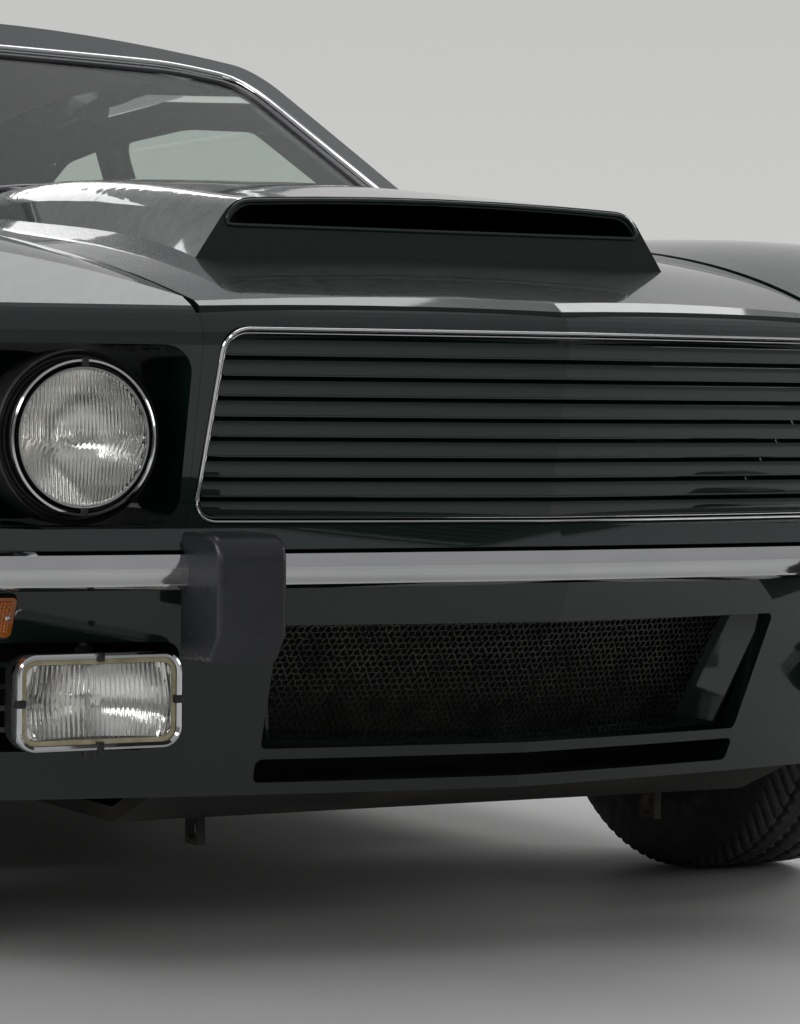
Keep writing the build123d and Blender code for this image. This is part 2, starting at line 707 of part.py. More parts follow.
def make_door_mirror():
    """Left door mirror: a rounded shell on a short foot."""
    shell = Pos(MIRROR_X, y_at(MIRROR_S), MIRROR_Z) * Box(120, 66, 72)
    shell = shell.fillet(22, shell.edges())
    foot = Pos(828, y_at(MIRROR_S), 950) * Box(40, 34, 60)
    return one(shell + foot) - hull_outer


def make_tail():
    """Boot lid, rear panel and tail lamps."""
    nodes["boot_lid"] = one((full_shell & boot_region(0)) & block(-1000, 1000, 3700, 4700, 880, 1100))
    panel = (hull_shell & tail_region(0)) - boot_region(SHUT_GAP)
    nodes["rear_panel"] = one(panel)
    lamp = ((430, 640), (700, 640), (700, 762), (430, 762))
    band = tail_block(-14) - tail_block(0)
    lamp_solid = band & front_prism(lamp, 4300, 4700, 12)
    nodes["tail_lamps"] = Compound(both(lamp_solid))


TUNNEL_HALF = 130.0
TUNNEL_Z = 400.0
RAIL_X0, RAIL_X1 = 396.0, 458.0
RAIL_Z0, RAIL_Z1 = 296.0, 380.0
BULKHEAD_S = 1380.0
BULKHEAD_SHEET = 10.0
REAR_BULKHEAD_S = 3190.0
REAR_JOINT_S = 3010.0
UNDERTRAY_Z = 178.0


def tub(radius, s, inner_x, z_low):
    """The left wheel tub: an arched wall round the tyre and the plate that closes it inboard."""
    ring = wheel_space(radius + TUB_WALL, s, inner_x - TUB_WALL) - wheel_space(radius, s, inner_x)
    return ring & block(0, 1100, s - 600, s + 600, z_low, 1000)


def arch_tubs(radius, s, inner_x, low_z):
    """Both wheel tubs of one axle, with the gates for axle or suspension arms."""
    tub_left = tub(radius, s, inner_x, low_z) - block(0, inner_x, s - 130, s + 130, 190, 470)
    return [tub_left, mirrored(tub_left)]


def front_pieces():
    """Front frame: wheel tubs and radiator panel; rails, undertray, jack pads and lashing eyes."""
    inside = arch_tubs(ARCH_RADIUS, FRONT_AXLE_S, ARCH_INNER_X, 200)
    inside.append(block(-RAIL_X1, RAIL_X1, 290, 302, 200, 745))
    tray = ((196, 219), (300, UNDERTRAY_Z), (1190, UNDERTRAY_Z))
    tray += ((1190, UNDERTRAY_Z + 18), (306, UNDERTRAY_Z + 18), (202, 237))
    whole = [side_prism(tray, -452, 452)]
    whole += both(block(RAIL_X0, RAIL_X1, 190, BULKHEAD_S - SEAT, RAIL_Z0, RAIL_Z1))
    whole += both(block(EYE_X - 5, EYE_X + 5, EYE_S - 18, EYE_S + 18, EYE_Z - 18, 200))
    return inside, whole + jack_pads(PAD_FRONT_S)


def floor_pieces():
    """Floor under the cabin: tunnel, front bulkhead and door posts; hinge bosses and jack pads."""
    post_s = DOOR_FRONT_S - SHUT_GAP
    post = block(700, 1000, post_s - JAMB_THICKNESS, post_s, 200, 905)
    inside = [block(-TUNNEL_HALF, TUNNEL_HALF, BULKHEAD_S, REAR_JOINT_S, 200, TUNNEL_Z), post, mirrored(post)]
    inside.append(block(-1000, 1000, BULKHEAD_S, BULKHEAD_S + BULKHEAD_SHEET, 200, 1000))
    whole = jack_pads(PAD_REAR_S)
    for z in (410.0, 790.0):
        whole += both(block(790, 850, post_s - 2, DOOR_FRONT_S - SEAT, z - 30, z + 30))
    return inside, whole


def rear_pieces():
    """Rear floor: bulkhead, parcel shelf, boot floor, channel under the boot lid's edge and wheel tubs."""
    inside = arch_tubs(REAR_ARCH_RADIUS, REAR_AXLE_S, REAR_ARCH_INNER_X, 210)
    inside += [
        block(-TUNNEL_HALF, TUNNEL_HALF, REAR_JOINT_S, REAR_BULKHEAD_S + 5, 200, TUNNEL_Z),
        block(-1000, 1000, REAR_BULKHEAD_S, REAR_BULKHEAD_S + BULKHEAD_SHEET, 200, 905),
        block(-1000, 1000, REAR_BULKHEAD_S, BOOT_FRONT_S - 20, 895, 905),
        block(-1000, 1000, REAR_BULKHEAD_S, 4480, 470, 480),
        block(-540, 540, BOOT_FRONT_S - 24, BOOT_FRONT_S + 24, 880, 1000),
        block(-1000, 1000, BOOT_FRONT_S - 24, BOOT_FRONT_S - 14, 470, 1000),
    ]
    return inside, []


def jack_pads(s):
    """The two flat jacking pads at one station."""
    return both(block(PAD_X - 30, PAD_X + 30, s - 30, s + 30, PAD_Z, 200))


def make_floors():
    """The welded underside in three pieces, a seam apart: front frame, floor pan and rear floor."""
    end = DOOR_REAR_S + SHUT_GAP
    low = block(-1000, 1000, 1150, DOOR_FRONT_S - SHUT_GAP, 100, SILL_Z)
    low += block(-1000, 1000, DOOR_FRONT_S - SHUT_GAP, end, 100, SILL_Z - SHUT_GAP)
    low += block(-1000, 1000, end, TAIL_S + 100, 100, SILL_Z)
    skin = hull_shell & low
    clip = one(lower_body(SKIN + SEAT) + (hull_inner & block(-1000, 1000, 100, 4700, 190, 300)))
    eyes = cylinder_x(EYE_RADIUS, -EYE_X - 20, EYE_X + 20, EYE_S, EYE_Z)
    gate = block(-560, 560, REAR_AXLE_S - 170, REAR_AXLE_S + 170, 100, 460)
    seams = [nodes[name] for name in ("wing_left", "wing_right", "nose_panel", "air_dam")]
    for name, pieces, s0, s1, cuts in (
        ("front_frame", front_pieces, -100, BULKHEAD_S - SEAT, [front_space, eyes] + seams),
        ("floor_pan", floor_pieces, BULKHEAD_S, REAR_JOINT_S - SEAT, seams[:2]),
        ("rear_floor", rear_pieces, REAR_JOINT_S, TAIL_S + 100, [rear_space, gate]),
    ):
        inside, whole = pieces()
        zone = block(-1000, 1000, s0, s1, 100, 1000)
        clipped = (Compound(inside) & (clip & zone)).solids()
        nodes[name] = one(((skin & zone) + clipped + whole) - cuts)


PAD_FRONT_S = 1290.0
PAD_REAR_S = 2760.0
PAD_X = 690.0
PAD_Z = 182.0
EYE_X = 330.0
EYE_S = 330.0
EYE_Z = 160.0
EYE_RADIUS = 12.5

# Grille
FRAME_WIDTH = 8.0
BLADE_COUNT = 9
BLADE_SHEET = 4.0
BLADE_SETBACK = 2.0
BLADE_FACE = 0.74
BLADE_TURN = -0.1
BLADE_FOLD = 1.5
BLADE_REACH = 1.12
BAR_SETBACK = 12.0
GRILLE_Z0 = 551.0
GRILLE_Z1 = 761.0


def nose_ribbon(s0, depth, half, z0, z1, lean):
    """A strip that follows the nose curve, its top set back by the lean."""
    edges = []
    for k in (1, -1):
        for offset in (0, depth):
            edges.append(
                Edge.make_three_point_arc(
                    *[(k * x, y_at(s0 + offset + nose_offset(x)), z0) for x in (0, half / 2, half)]
                )
            )
        a, b = y_at(s0 + nose_offset(half)), y_at(s0 + depth + nose_offset(half))
        edges.append(Edge.make_line((k * half, a, z0), (k * half, b, z0)))
    return Solid.extrude(Face(Wire(edges)), Vector(0, lean * (z1 - z0), z1 - z0))


def make_grille():
    """Bright frame and the overlapping louvre blades on their upright bars."""
    face = nose_block(-3, FACE_FOOT_S, FACE_FOOT_Z, FACE_RAKE, 100, 1100)
    deep = nose_block(16, FACE_FOOT_S, FACE_FOOT_Z, FACE_RAKE, 100, 1100)
    frame = (face - deep) & (grille_hole(SEAT) - grille_hole(FRAME_WIDTH))
    nodes["grille_frame"] = one(frame)
    pitch = (GRILLE_Z1 - GRILLE_Z0) / BLADE_COUNT
    face_height = BLADE_FACE * pitch
    blades = []
    for k in range(BLADE_COUNT):
        z0 = GRILLE_Z0 + k * pitch
        z1 = z0 + face_height
        s0 = FACE_FOOT_S - FACE_RAKE * (z0 - FACE_FOOT_Z) + BLADE_SETBACK
        fold_s = s0 + BLADE_TURN * face_height
        blades.append(nose_ribbon(s0, BLADE_SHEET, 470, z0, z1, BLADE_TURN))
        blades.append(nose_ribbon(fold_s, BLADE_SHEET, 470, z1 - 1, z0 + BLADE_REACH * pitch, BLADE_FOLD))
    for x in (-300, 0, 300):
        s_mid = FACE_FOOT_S + nose_offset(x) + BLADE_SETBACK + BAR_SETBACK
        top_s = s_mid - FACE_RAKE * (GRILLE_Z1 - GRILLE_Z0)
        outline = ((s_mid, GRILLE_Z0), (s_mid + 14, GRILLE_Z0), (top_s + 14, GRILLE_Z1), (top_s, GRILLE_Z1))
        blades.append(side_prism(outline, x - 5, x + 5))
    nodes["grille_slats"] = one((blades[0] + blades[1:]) & grille_hole(FRAME_WIDTH + SEAT))


MESH_SHEET = 4.0
MESH_COLUMNS = 18
MESH_ROWS = 4
MESH_BAR = 8.0


def make_intake_mesh():
    """Mesh behind the air dam's intake, drawn as a coarse lattice in a frame."""
    z0, z1, half = 278.0, 428.0, 336.0
    front = SKIN + DUCT_DEPTH + SEAT
    sheet = dam_block(front) - dam_block(front + MESH_SHEET)
    plate = sheet & block(-half, half, -100, 400, z0, z1)
    width = 2 * (half - 10) / MESH_COLUMNS
    height = (z1 - z0 - 20) / MESH_ROWS
    holes = []
    for i in range(MESH_COLUMNS):
        for j in range(MESH_ROWS):
            x = -half + 10 + (i + 0.5) * width
            z = z0 + 10 + (j + 0.5) * height
            w, h = width / 2 - MESH_BAR / 2, height / 2 - MESH_BAR / 2
            holes.append(block(x - w, x + w, -100, 400, z - h, z + h))
    return one(plate - holes)


def revolve_s(points, x, z):
    """A turned piece about a line along the car, from (radius, station) points."""
    face = Face(Polyline(*[(x + r, y_at(s), z) for r, s in points], close=True))
    return one(revolve(face, Axis((x, 0, z), (0, 1, 0))))


def make_headlamp():
    """Left headlamp: bright ring, domed glass and the pod behind them."""
    s = LAMP_S
    points = [(0, s - 10), (40, s - 8), (76, s), (80, s - 6), (88, s - 2), (LAMP_RADIUS, s + 6)]
    points += [(LAMP_RADIUS, s + 18), (82, s + 20), (82, s + 58), (98, s + 62), (98, s + 70), (80, s + 72)]
    points += [(70, 224.5), (0, 224.5)]
    return revolve_s(points, LAMP_X, LAMP_Z)


SPOT_X0, SPOT_X1 = 458.0, 662.0
SPOT_Z0, SPOT_Z1 = 288.0, 399.0
SPOT_S = 96.0
SPOT_DEPTH = 62.0


def make_spot_lamp():
    """Left driving lamp: a rounded shell on two stems."""
    x = (SPOT_X0 + SPOT_X1) / 2
    shell = block(SPOT_X0, SPOT_X1, SPOT_S, SPOT_S + SPOT_DEPTH, SPOT_Z0, SPOT_Z1)
    shell = shell.fillet(22, shell.edges().filter_by(Axis.Y))
    shell = shell.fillet(6, shell.faces().sort_by(Axis.Y)[0].edges())
    stem = Pos(x, y_at(SPOT_S + 50), (SPOT_Z1 + 408) / 2) * Cylinder(6, 408 - SPOT_Z1 + 4)
    return one((shell + stem) - nodes["air_dam"])


def make_indicator():
    """Left amber indicator, set on the air dam beside the lamp opening."""
    outline = ((648, 413), (762, 413), (762, 463), (648, 463))
    band = (dam_block(-9) - dam_block(0)) & front_prism(outline, -100, 400, 5)
    return one(band)


def place_bumpers():
    """Bright bars and rubber overriders, front and rear."""
    front = bumper_bar(BUMPER_CREASE_S, BUMPER_SLOPE, BUMPER_RADIUS, BUMPER_END_S)
    rear = bumper_bar(REAR_CREASE_S, 0.0, REAR_BAR_RADIUS, REAR_END_S)
    front = front - [hull_outer, nodes["air_dam"], nodes["nose_panel"], nodes["wing_left"], nodes["wing_right"]]
    rear = rear - hull_outer
    nodes["bumpers"] = Compound([one(front), one(rear)])
    left = make_overrider() - [hull_outer, nodes["nose_panel"], nodes["wing_left"], nodes["air_dam"]]
    back = block(
        OVERRIDER_X - OVERRIDER_WIDTH / 2, OVERRIDER_X + OVERRIDER_WIDTH / 2, REAR_CREASE_S - 60, TAIL_S,
        OVERRIDER_Z0 + 20, OVERRIDER_Z1,
    )
    back = back.fillet(26, back.edges().filter_by(Axis.X).group_by(Axis.Y)[-1]) - hull_outer
    left, back = left - front, back - rear
    nodes["overriders"] = Compound(both(one(left)) + both(one(back)))


ENGINE_HALF = 330.0
ENGINE_S0, ENGINE_S1 = 545.0, 1250.0
ENGINE_Z0, ENGINE_Z1 = 334.0, 800.0


def make_engine():
    """Engine and gearbox as one plain block."""
    body = block(-ENGINE_HALF, ENGINE_HALF, ENGINE_S0, ENGINE_S1, ENGINE_Z0, ENGINE_Z1)
    return body.chamfer(120, None, body.edges().filter_by(Axis.Y).group_by(Axis.Z)[0])


ARM_LOW_Z = 256.0
ARM_HIGH_Z = 430.0
ARM_SHEET = 18.0
ARM_EYE_RADIUS = 20.0


def make_front_suspension():
    """Crossmember, wishbones that end in round eyes on the kingpin line, and spring units."""
    s = FRONT_AXLE_S
    parts = [block(-RAIL_X0, RAIL_X0, s - 60, s + 60, 232, ENGINE_Z0)]
    for k in (1, -1):
        for z, width in ((ARM_LOW_Z, 90), (ARM_HIGH_Z, 60)):
            z0, z1 = z - ARM_SHEET / 2, z + ARM_SHEET / 2
            arm = ((k * 380, s - width), (k * 380, s + width), (k * KINGPIN_X, s + 18), (k * KINGPIN_X, s - 18))
            parts.append(plan_prism(arm, z0, z1))
            parts.append(Pos(k * KINGPIN_X, y_at(s), z) * Cylinder(ARM_EYE_RADIUS, ARM_SHEET))
        parts.append(block(*sorted((k * 384, k * 398)), s - 60, s + 60, 320, 440))
        parts.append(Pos(k * 528, y_at(s), 420) * Cylinder(42, 330))
        parts.append(block(*sorted((k * ARCH_INNER_X, k * 540)), s - 40, s + 40, 560, 585))
    return one(parts[0] + parts[1:] - nodes["front_frame"])


def make_knuckle():
    """Left upright between the wishbone eyes, with its stub axle."""
    s = FRONT_AXLE_S
    low, high = ARM_LOW_Z + ARM_SHEET / 2 + SEAT, ARM_HIGH_Z - ARM_SHEET / 2 - SEAT
    post = block(KINGPIN_X - 22, KINGPIN_X + 22, s - 32, s + 32, low, high)
    return one(post + cylinder_x(STUB_RADIUS, KINGPIN_X, 815, s, AXLE_Z))


def revolve_x(points, s, z):
    """A turned piece about the axle line, from (x, radius) points."""
    face = Face(Polyline(*[(x, y_at(s), z + r) for x, r in points], close=True))
    return one(revolve(face, Axis((0, y_at(s), z), (1, 0, 0))))


def make_rear_axle():
    """Axle tube with its differential, the stubs that carry the rear wheels and the trailing links."""
    s = REAR_AXLE_S
    half = [(0, 108), (60, 108), (95, 70), (110, 38), (652, 38), (652, STUB_RADIUS), (815, STUB_RADIUS)]
    profile = [(x, r) for x, r in half] + [(815, 0), (-815, 0)]
    profile += [(-x, r) for x, r in reversed(half[1:])]
    axle = revolve_x(profile, s, AXLE_Z)
    front = REAR_BULKHEAD_S + BULKHEAD_SHEET + SEAT
    links = [block(*sorted((k * 470, k * 510)), front, s, 325, 355) for k in (1, -1)]
    return one(axle + links)


WINDOW_COUNT = 10


def make_wheel():
    """Left front wheel: rim, dished disc with a ring of windows, hub and brake disc."""
    c, half = HALF_TRACK, RIM_WIDTH / 2
    rim = [
        (-half - 8, 206), (-half - 8, 216), (-half - 1, 216), (-half - 1, RIM_RADIUS), (half + 1, RIM_RADIUS),
        (half + 1, 216), (half + 8, 216), (half + 8, 206), (half - 4, 192), (-half + 4, 192),
    ]
    body = revolve_x([(c + x, r) for x, r in rim], FRONT_AXLE_S, AXLE_Z)
    bore = STUB_RADIUS + BORE_CLEARANCE
    disc = [(44, bore), (44, HUB_RADIUS), (30, 90), (46, 150), (58, 193), (68, 193), (62, 150), (46, 90),
            (62, HUB_RADIUS), (72, 50), (72, bore)]
    body = body + revolve_x([(c + x, r) for x, r in disc], FRONT_AXLE_S, AXLE_Z)
    windows = []
    for k in range(WINDOW_COUNT):
        angle = 2 * pi * k / WINDOW_COUNT
        s = FRONT_AXLE_S + 140 * cos(angle)
        z = AXLE_Z + 140 * sin(angle)
        windows.append(cylinder_x(25, c, c + 120, s, z))
    body = one(body - windows)
    brake = [(-8, bore), (-8, DISC_RADIUS), (-8 + DISC_THICKNESS, DISC_RADIUS), (-8 + DISC_THICKNESS, HUB_RADIUS),
             (44 - SEAT, HUB_RADIUS), (44 - SEAT, bore)]
    return Compound([body, revolve_x([(c + x, r) for x, r in brake], FRONT_AXLE_S, AXLE_Z)])


def make_tyre():
    """Left front tyre: bead, bulging sidewalls and a crowned tread."""
    c, half, bore = HALF_TRACK, TYRE_WIDTH / 2, RIM_RADIUS + SEAT
    bead = RIM_WIDTH / 2 - 1.5
    y = y_at(FRONT_AXLE_S)

    def at(x, r):
        """A profile point from its place across the tyre and its radius."""
        return (c + x, y, AXLE_Z + r)

    shoulder = TYRE_RADIUS - 16
    edges = [
        Edge.make_line(at(-bead, bore), at(bead, bore)),
        Edge.make_line(at(bead, bore), at(bead, 217)),
        Edge.make_three_point_arc(at(bead, 217), at(half, 272), at(half - 8, shoulder)),
        Edge.make_three_point_arc(at(half - 8, shoulder), at(half - 13, TYRE_RADIUS - 8), at(half - 24, TYRE_RADIUS - 3)),
        Edge.make_three_point_arc(at(half - 24, TYRE_RADIUS - 3), at(0, TYRE_RADIUS), at(24 - half, TYRE_RADIUS - 3)),
        Edge.make_three_point_arc(at(24 - half, TYRE_RADIUS - 3), at(13 - half, TYRE_RADIUS - 8), at(8 - half, shoulder)),
        Edge.make_three_point_arc(at(8 - half, shoulder), at(-half, 272), at(-bead, 217)),
        Edge.make_line(at(-bead, 217), at(-bead, bore)),
    ]
    return one(revolve(Face(Wire(edges)), Axis((0, y, AXLE_Z), (1, 0, 0))))


def place_wheels():
    """Four wheels and tyres."""
    wheel, tyre = make_wheel(), make_tyre()
    for axle, travel in (("front", 0), ("rear", WHEELBASE)):
        for name, shape in (("wheel", wheel), ("tyre", tyre)):
            moved = shape.moved(Location((0, travel, 0)))
            nodes[f"{name}_{axle}_left"] = moved
            nodes[f"{name}_{axle}_right"] = mirrored(moved)


SEAT_X = 385.0
SEAT_WIDTH = 476.0


def make_seats():
    """Front seats, rear seat, dashboard and steering wheel."""
    profile = ((1960, 250), (1950, 400), (1990, 425), (2330, 385), (2480, 880), (2560, 900), (2590, 870),
               (2470, 400), (2440, 250))
    seat = side_prism(profile, SEAT_X - SEAT_WIDTH / 2, SEAT_X + SEAT_WIDTH / 2, 18)
    rails = [block(SEAT_X + x - 15, SEAT_X + x + 15, 2000, 2400, 216 + SEAT, 252) for x in (-180, 180)]
    seat = one(seat + rails[0] + rails[1])
    back = REAR_BULKHEAD_S - SEAT
    floor = 216 + SEAT
    bench_profile = ((2740, floor), (2730, 360), (2760, 400), (3010, 370), (3110, 820), (back, 850), (back, floor))
    arch = block(560, 1000, 2950, 3300, 100, 760)
    tunnel = block(-TUNNEL_HALF - 1, TUNNEL_HALF + 1, 2700, 3200, 100, TUNNEL_Z + 1)
    bench = side_prism(bench_profile, -600, 600, 16) - [tunnel, arch, mirrored(arch)]
    nodes["seats"] = Compound(both(seat) + [one(bench)])
    front = BULKHEAD_S + BULKHEAD_SHEET + SEAT
    dash_profile = ((front, 640), (front, 880), (1500, 900), (1620, 890), (1690, 850), (1700, 700), (1640, 640))
    dash = side_prism(dash_profile, -640, 640, 20)
    nodes["dashboard"] = one(dash)
    rim = Torus(185, 13) + Cylinder(36, 40)
    for k in range(3):
        rim = rim + Rot(0, 0, 90 + 120 * k) * Pos(95, 0, 0) * Box(180, 26, 6)
    rim = rim + Pos(0, 0, -90) * Cylinder(17, 180)
    tilted = Pos(-SEAT_X, y_at(1850), 760) * Rot(-68, 0, 0) * rim
    nodes["steering_wheel"] = one(tilted - nodes["dashboard"])


def make_exhaust():
    """Twin pipes with a silencer each, hung under the floor."""
    pipe_z, pipe_radius = 166.0, 22.0
    parts = None
    for k in (1, -1):
        pipe = cylinder_s(pipe_radius, 1300, TAIL_S - 60, k * 220, pipe_z)
        box = block(k * 220 - 90, k * 220 + 90, 2200, 2700, pipe_z - 20, 189.7)
        whole = one(pipe + box)
        parts = [whole] if parts is None else parts + [whole]
    return Compound(parts)


make_wings()
nodes["bonnet"] = make_bonnet()
nodes["nose_panel"] = one(make_nose())
nodes["air_dam"] = make_air_dam()
nodes["cabin_shell"] = make_cabin_shell()
make_glasses()
nodes["door_left"], nodes["door_glass_left"] = make_door()
nodes["door_right"], nodes["door_glass_right"] = [mirrored(nodes[n]) for n in ("door_left", "door_glass_left")]
nodes["door_mirror_left"] = make_door_mirror()
nodes["door_mirror_right"] = mirrored(nodes["door_mirror_left"])
make_tail()
make_floors()
make_grille()
nodes["intake_mesh"] = make_intake_mesh()
nodes["headlamps"] = Compound(both(make_headlamp()))
nodes["driving_lamps"] = Compound(both(make_spot_lamp()))
nodes["indicators"] = Compound(both(make_indicator()))
place_bumpers()
nodes["engine"] = make_engine()
nodes["front_suspension"] = make_front_suspension()
nodes["knuckle_left"] = make_knuckle()
nodes["knuckle_right"] = mirrored(nodes["knuckle_left"])
nodes["rear_axle"] = make_rear_axle()
place_wheels()
make_seats()
nodes["exhaust"] = make_exhaust()

for name, shape in nodes.items():
    found = shape.solids()
    print(name, len(found), round(sum(solid.volume for solid in found) / 1e6, 2))
    export_step(Compound(found) if len(found) > 1 else found[0], f"parts/{name}.step")
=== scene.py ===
from math import cos, pi, radians, sin, sqrt

import bmesh
import bpy
import numpy as np
from mathutils import Matrix, Vector


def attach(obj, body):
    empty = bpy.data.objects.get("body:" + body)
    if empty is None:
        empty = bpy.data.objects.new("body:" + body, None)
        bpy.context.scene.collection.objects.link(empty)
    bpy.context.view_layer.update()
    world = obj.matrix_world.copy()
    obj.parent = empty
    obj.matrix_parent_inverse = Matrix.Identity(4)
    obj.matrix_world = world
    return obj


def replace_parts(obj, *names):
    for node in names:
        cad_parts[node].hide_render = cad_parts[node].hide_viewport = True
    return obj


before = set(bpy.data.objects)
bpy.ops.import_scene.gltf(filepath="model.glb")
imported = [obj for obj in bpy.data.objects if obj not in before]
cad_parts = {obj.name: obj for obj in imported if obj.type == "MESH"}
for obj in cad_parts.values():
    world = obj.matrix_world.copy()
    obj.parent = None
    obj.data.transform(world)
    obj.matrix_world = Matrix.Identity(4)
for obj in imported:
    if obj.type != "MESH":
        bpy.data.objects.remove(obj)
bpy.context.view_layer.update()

# The view: a low camera ahead of the car's right front corner, at headlamp height,
# looking across the nose with a long lens.
EYE = (-2.147, -5.7835, 0.700)
YAW, PITCH, ROLL = radians(28.68), radians(-2.02), radians(0.62)
look = Vector((sin(YAW) * cos(PITCH), cos(YAW) * cos(PITCH), sin(PITCH)))
level = Vector((cos(YAW), -sin(YAW), 0))
rise = level.cross(look)
right = level * cos(ROLL) + rise * sin(ROLL)
up = rise * cos(ROLL) - level * sin(ROLL)
camera = bpy.data.objects.new("camera", bpy.data.cameras.new("camera"))
camera.data.lens, camera.data.sensor_width = 122.3, 36.0
camera.data.clip_start, camera.data.clip_end = 0.1, 300
camera.matrix_world = Matrix.Translation(EYE) @ Matrix((right, up, -look)).transposed().to_4x4()
bpy.context.scene.collection.objects.link(camera)
bpy.context.scene.camera = camera
bpy.context.scene.view_settings.view_transform = "Standard"


# The floor: a smooth pale studio floor, swept and slightly clouded, in a pale room. Soft lamps stand
# over the car and all round it, so that its dark gloss panels have bright bands to reflect.
def adder(tree):
    """A function that adds a node to a tree; each input is a plain value or another node's output."""
    def add(kind, inputs, **settings):
        made = tree.nodes.new("ShaderNode" + kind)
        for key, value in settings.items():
            setattr(made, key, value)
        for key, value in inputs.items():
            if isinstance(value, bpy.types.NodeSocket):
                tree.links.new(value, made.inputs[key])
            else:
                made.inputs[key].default_value = value
        return made

    return add


def finish(name, values):
    """A material with these shader values, a function that adds nodes and one that feeds its shader."""
    mat = bpy.data.materials.new(name)
    mat.use_nodes = True
    shader = mat.node_tree.nodes["Principled BSDF"]
    for key, value in values.items():
        shader.inputs[key].default_value = value

    def join(output, socket):
        mat.node_tree.links.new(output, shader.inputs[socket])

    return mat, adder(mat.node_tree), join


def blended(add, fac, low, high, start=0.3, end=0.7):
    """A colour that passes from low to high while a value passes from start to end."""
    ramp = add("ValToRGB", {"Fac": fac})
    for stop, at, colour in zip(ramp.color_ramp.elements, (start, end), (low, high)):
        stop.position, stop.color = at, (*colour, 1)
    return ramp.outputs["Color"]


def grain(add, scale, detail=3.0, stretch=(1, 1, 1)):
    """Noise over the piece's own coordinates, scale times per metre, stretched along the axes."""
    own = add("TexCoord", {}).outputs["Object"]
    placed = add("Mapping", {"Vector": own, "Scale": stretch})
    noise = add("TexNoise", {"Vector": placed.outputs[0], "Scale": scale, "Detail": detail})
    return noise.outputs["Fac"]


def pebbled(add, scale):
    """Rounded cells over the piece's own coordinates, scale of them per metre."""
    own = add("TexCoord", {}).outputs["Object"]
    return add("TexVoronoi", {"Vector": own, "Scale": scale}).outputs["Distance"]


def spread(add, value, low, high, start=0.3, end=0.7):
    """Maps a value between start and end to the range low to high."""
    numbers = {"Value": value, "From Min": start, "From Max": end, "To Min": low, "To Max": high}
    return add("MapRange", numbers).outputs[0]


def dent(add, height, depth, strength=1.0):
    """A normal bent by a height of that depth in metres."""
    bump = add("Bump", {"Height": height, "Distance": depth, "Strength": strength})
    return bump.outputs["Normal"]


def made_of(name, values, tone=None, rough=None, bump=None):
    """A material whose surface varies. tone is a noise and two colours, rough a noise and two
    roughnesses, bump a noise, a depth in metres and a strength. Each noise is the scale, detail and
    stretch of a grain, or the plain scale of pebbles."""
    mat, add, join = finish(name, values)

    def noise(kind):
        return grain(add, *kind) if isinstance(kind, tuple) else pebbled(add, kind)

    if tone:
        join(blended(add, noise(tone[0]), *tone[1:]), "Base Color")
    if rough:
        join(spread(add, noise(rough[0]), *rough[1:]), "Roughness")
    if bump:
        join(dent(add, noise(bump[0]), *bump[1:]), "Normal")
    return mat


floor_mat = made_of("studio_floor", {"Roughness": 0.5, "Specular IOR Level": 0.3},
                    ((1.6, 6), (0.60, 0.60, 0.59), (0.66, 0.66, 0.65)), ((1.6, 6), 0.42, 0.6))
mesh = bpy.data.meshes.new("floor")
REACH = 90.0
mesh.from_pydata([(-REACH, -REACH, 0), (REACH, -REACH, 0), (REACH, REACH, 0), (-REACH, REACH, 0)], [],
                 [(0, 1, 2, 3)])
mesh.materials.append(floor_mat)
floor = bpy.data.objects.new("floor", mesh)
bpy.context.scene.collection.objects.link(floor)

world = bpy.data.worlds.new("studio")
bpy.context.scene.world = world
world.use_nodes = True
air = world.node_tree
add = adder(air)
way = add("SeparateXYZ", {0: add("TexCoord", {}).outputs["Generated"]}).outputs
tint = blended(add, way["Z"], (0.62, 0.62, 0.61), (0.30, 0.30, 0.31), 0.0, 0.55)
behind = spread(add, way["Y"], 1.0, 0.30, 0.10, -0.55)
overhead = spread(add, way["Z"], 0.28, 1.25, 0.16, 0.56)
strength = add("Math", {0: behind, 1: overhead}, operation="MAXIMUM").outputs[0]
air.links.new(tint, air.nodes["Background"].inputs["Color"])
air.links.new(strength, air.nodes["Background"].inputs["Strength"])
LAMPS = (
    # name, place, aimed at, width, height, watts
    ("lamp_ahead", (-3.4, -7.4, 2.6), (0, -2.0, 0.5), 3.2, 0.8, 40),
    ("lamp_over", (0.8, 0.2, 4.8), (0, 0, 0.8), 1.4, 6.0, 75),
    ("lamp_right", (-6.0, -1.5, 3.2), (0, -0.8, 0.6), 5.5, 1.3, 150),
    ("lamp_left", (6.0, 0.5, 3.4), (0, -0.4, 0.6), 5.5, 1.3, 150),
    ("lamp_window", (6.0, -5.6, 1.9), (0.3, -2.2, 0.7), 2.6, 1.4, 26),
    ("lamp_behind", (0.5, 6.5, 4.2), (0, 1.0, 0.8), 5.0, 1.2, 60),
)
for name, place, aim, width, height, watts in LAMPS:
    data = bpy.data.lights.new(name, "AREA")
    data.shape, data.size, data.size_y, data.energy = "RECTANGLE", width, height, watts
    lamp = bpy.data.objects.new(name, data)
    lamp.location = place
    lamp.rotation_euler = (Vector(aim) - Vector(place)).to_track_quat("-Z", "Y").to_euler()
    bpy.context.scene.collection.objects.link(lamp)


# Body panels: pressed steel, primed, sprayed very dark green and lacquered. The lacquer has
# a faint orange peel, and a film of road dust lies low on the sides.
def crowned(add, low, deep, rise):
    """A height in metres that swells over each level face of a bar or blade: low is one crease's
    height, deep the faces' depth, and rise how far their middles stand out."""
    z = add("SeparateXYZ", {"Vector": add("TexCoord", {}).outputs["Object"]}).outputs["Z"]
    share = add("Math", {0: z, 1: low}, operation="SUBTRACT").outputs[0]
    turn = add("Math", {0: share, 1: pi / deep}, operation="MULTIPLY").outputs[0]
    swing = add("Math", {0: turn}, operation="SINE").outputs[0]
    wave = add("Math", {0: swing}, operation="ABSOLUTE").outputs[0]
    return add("Math", {0: wave, 1: rise}, operation="MULTIPLY").outputs[0]


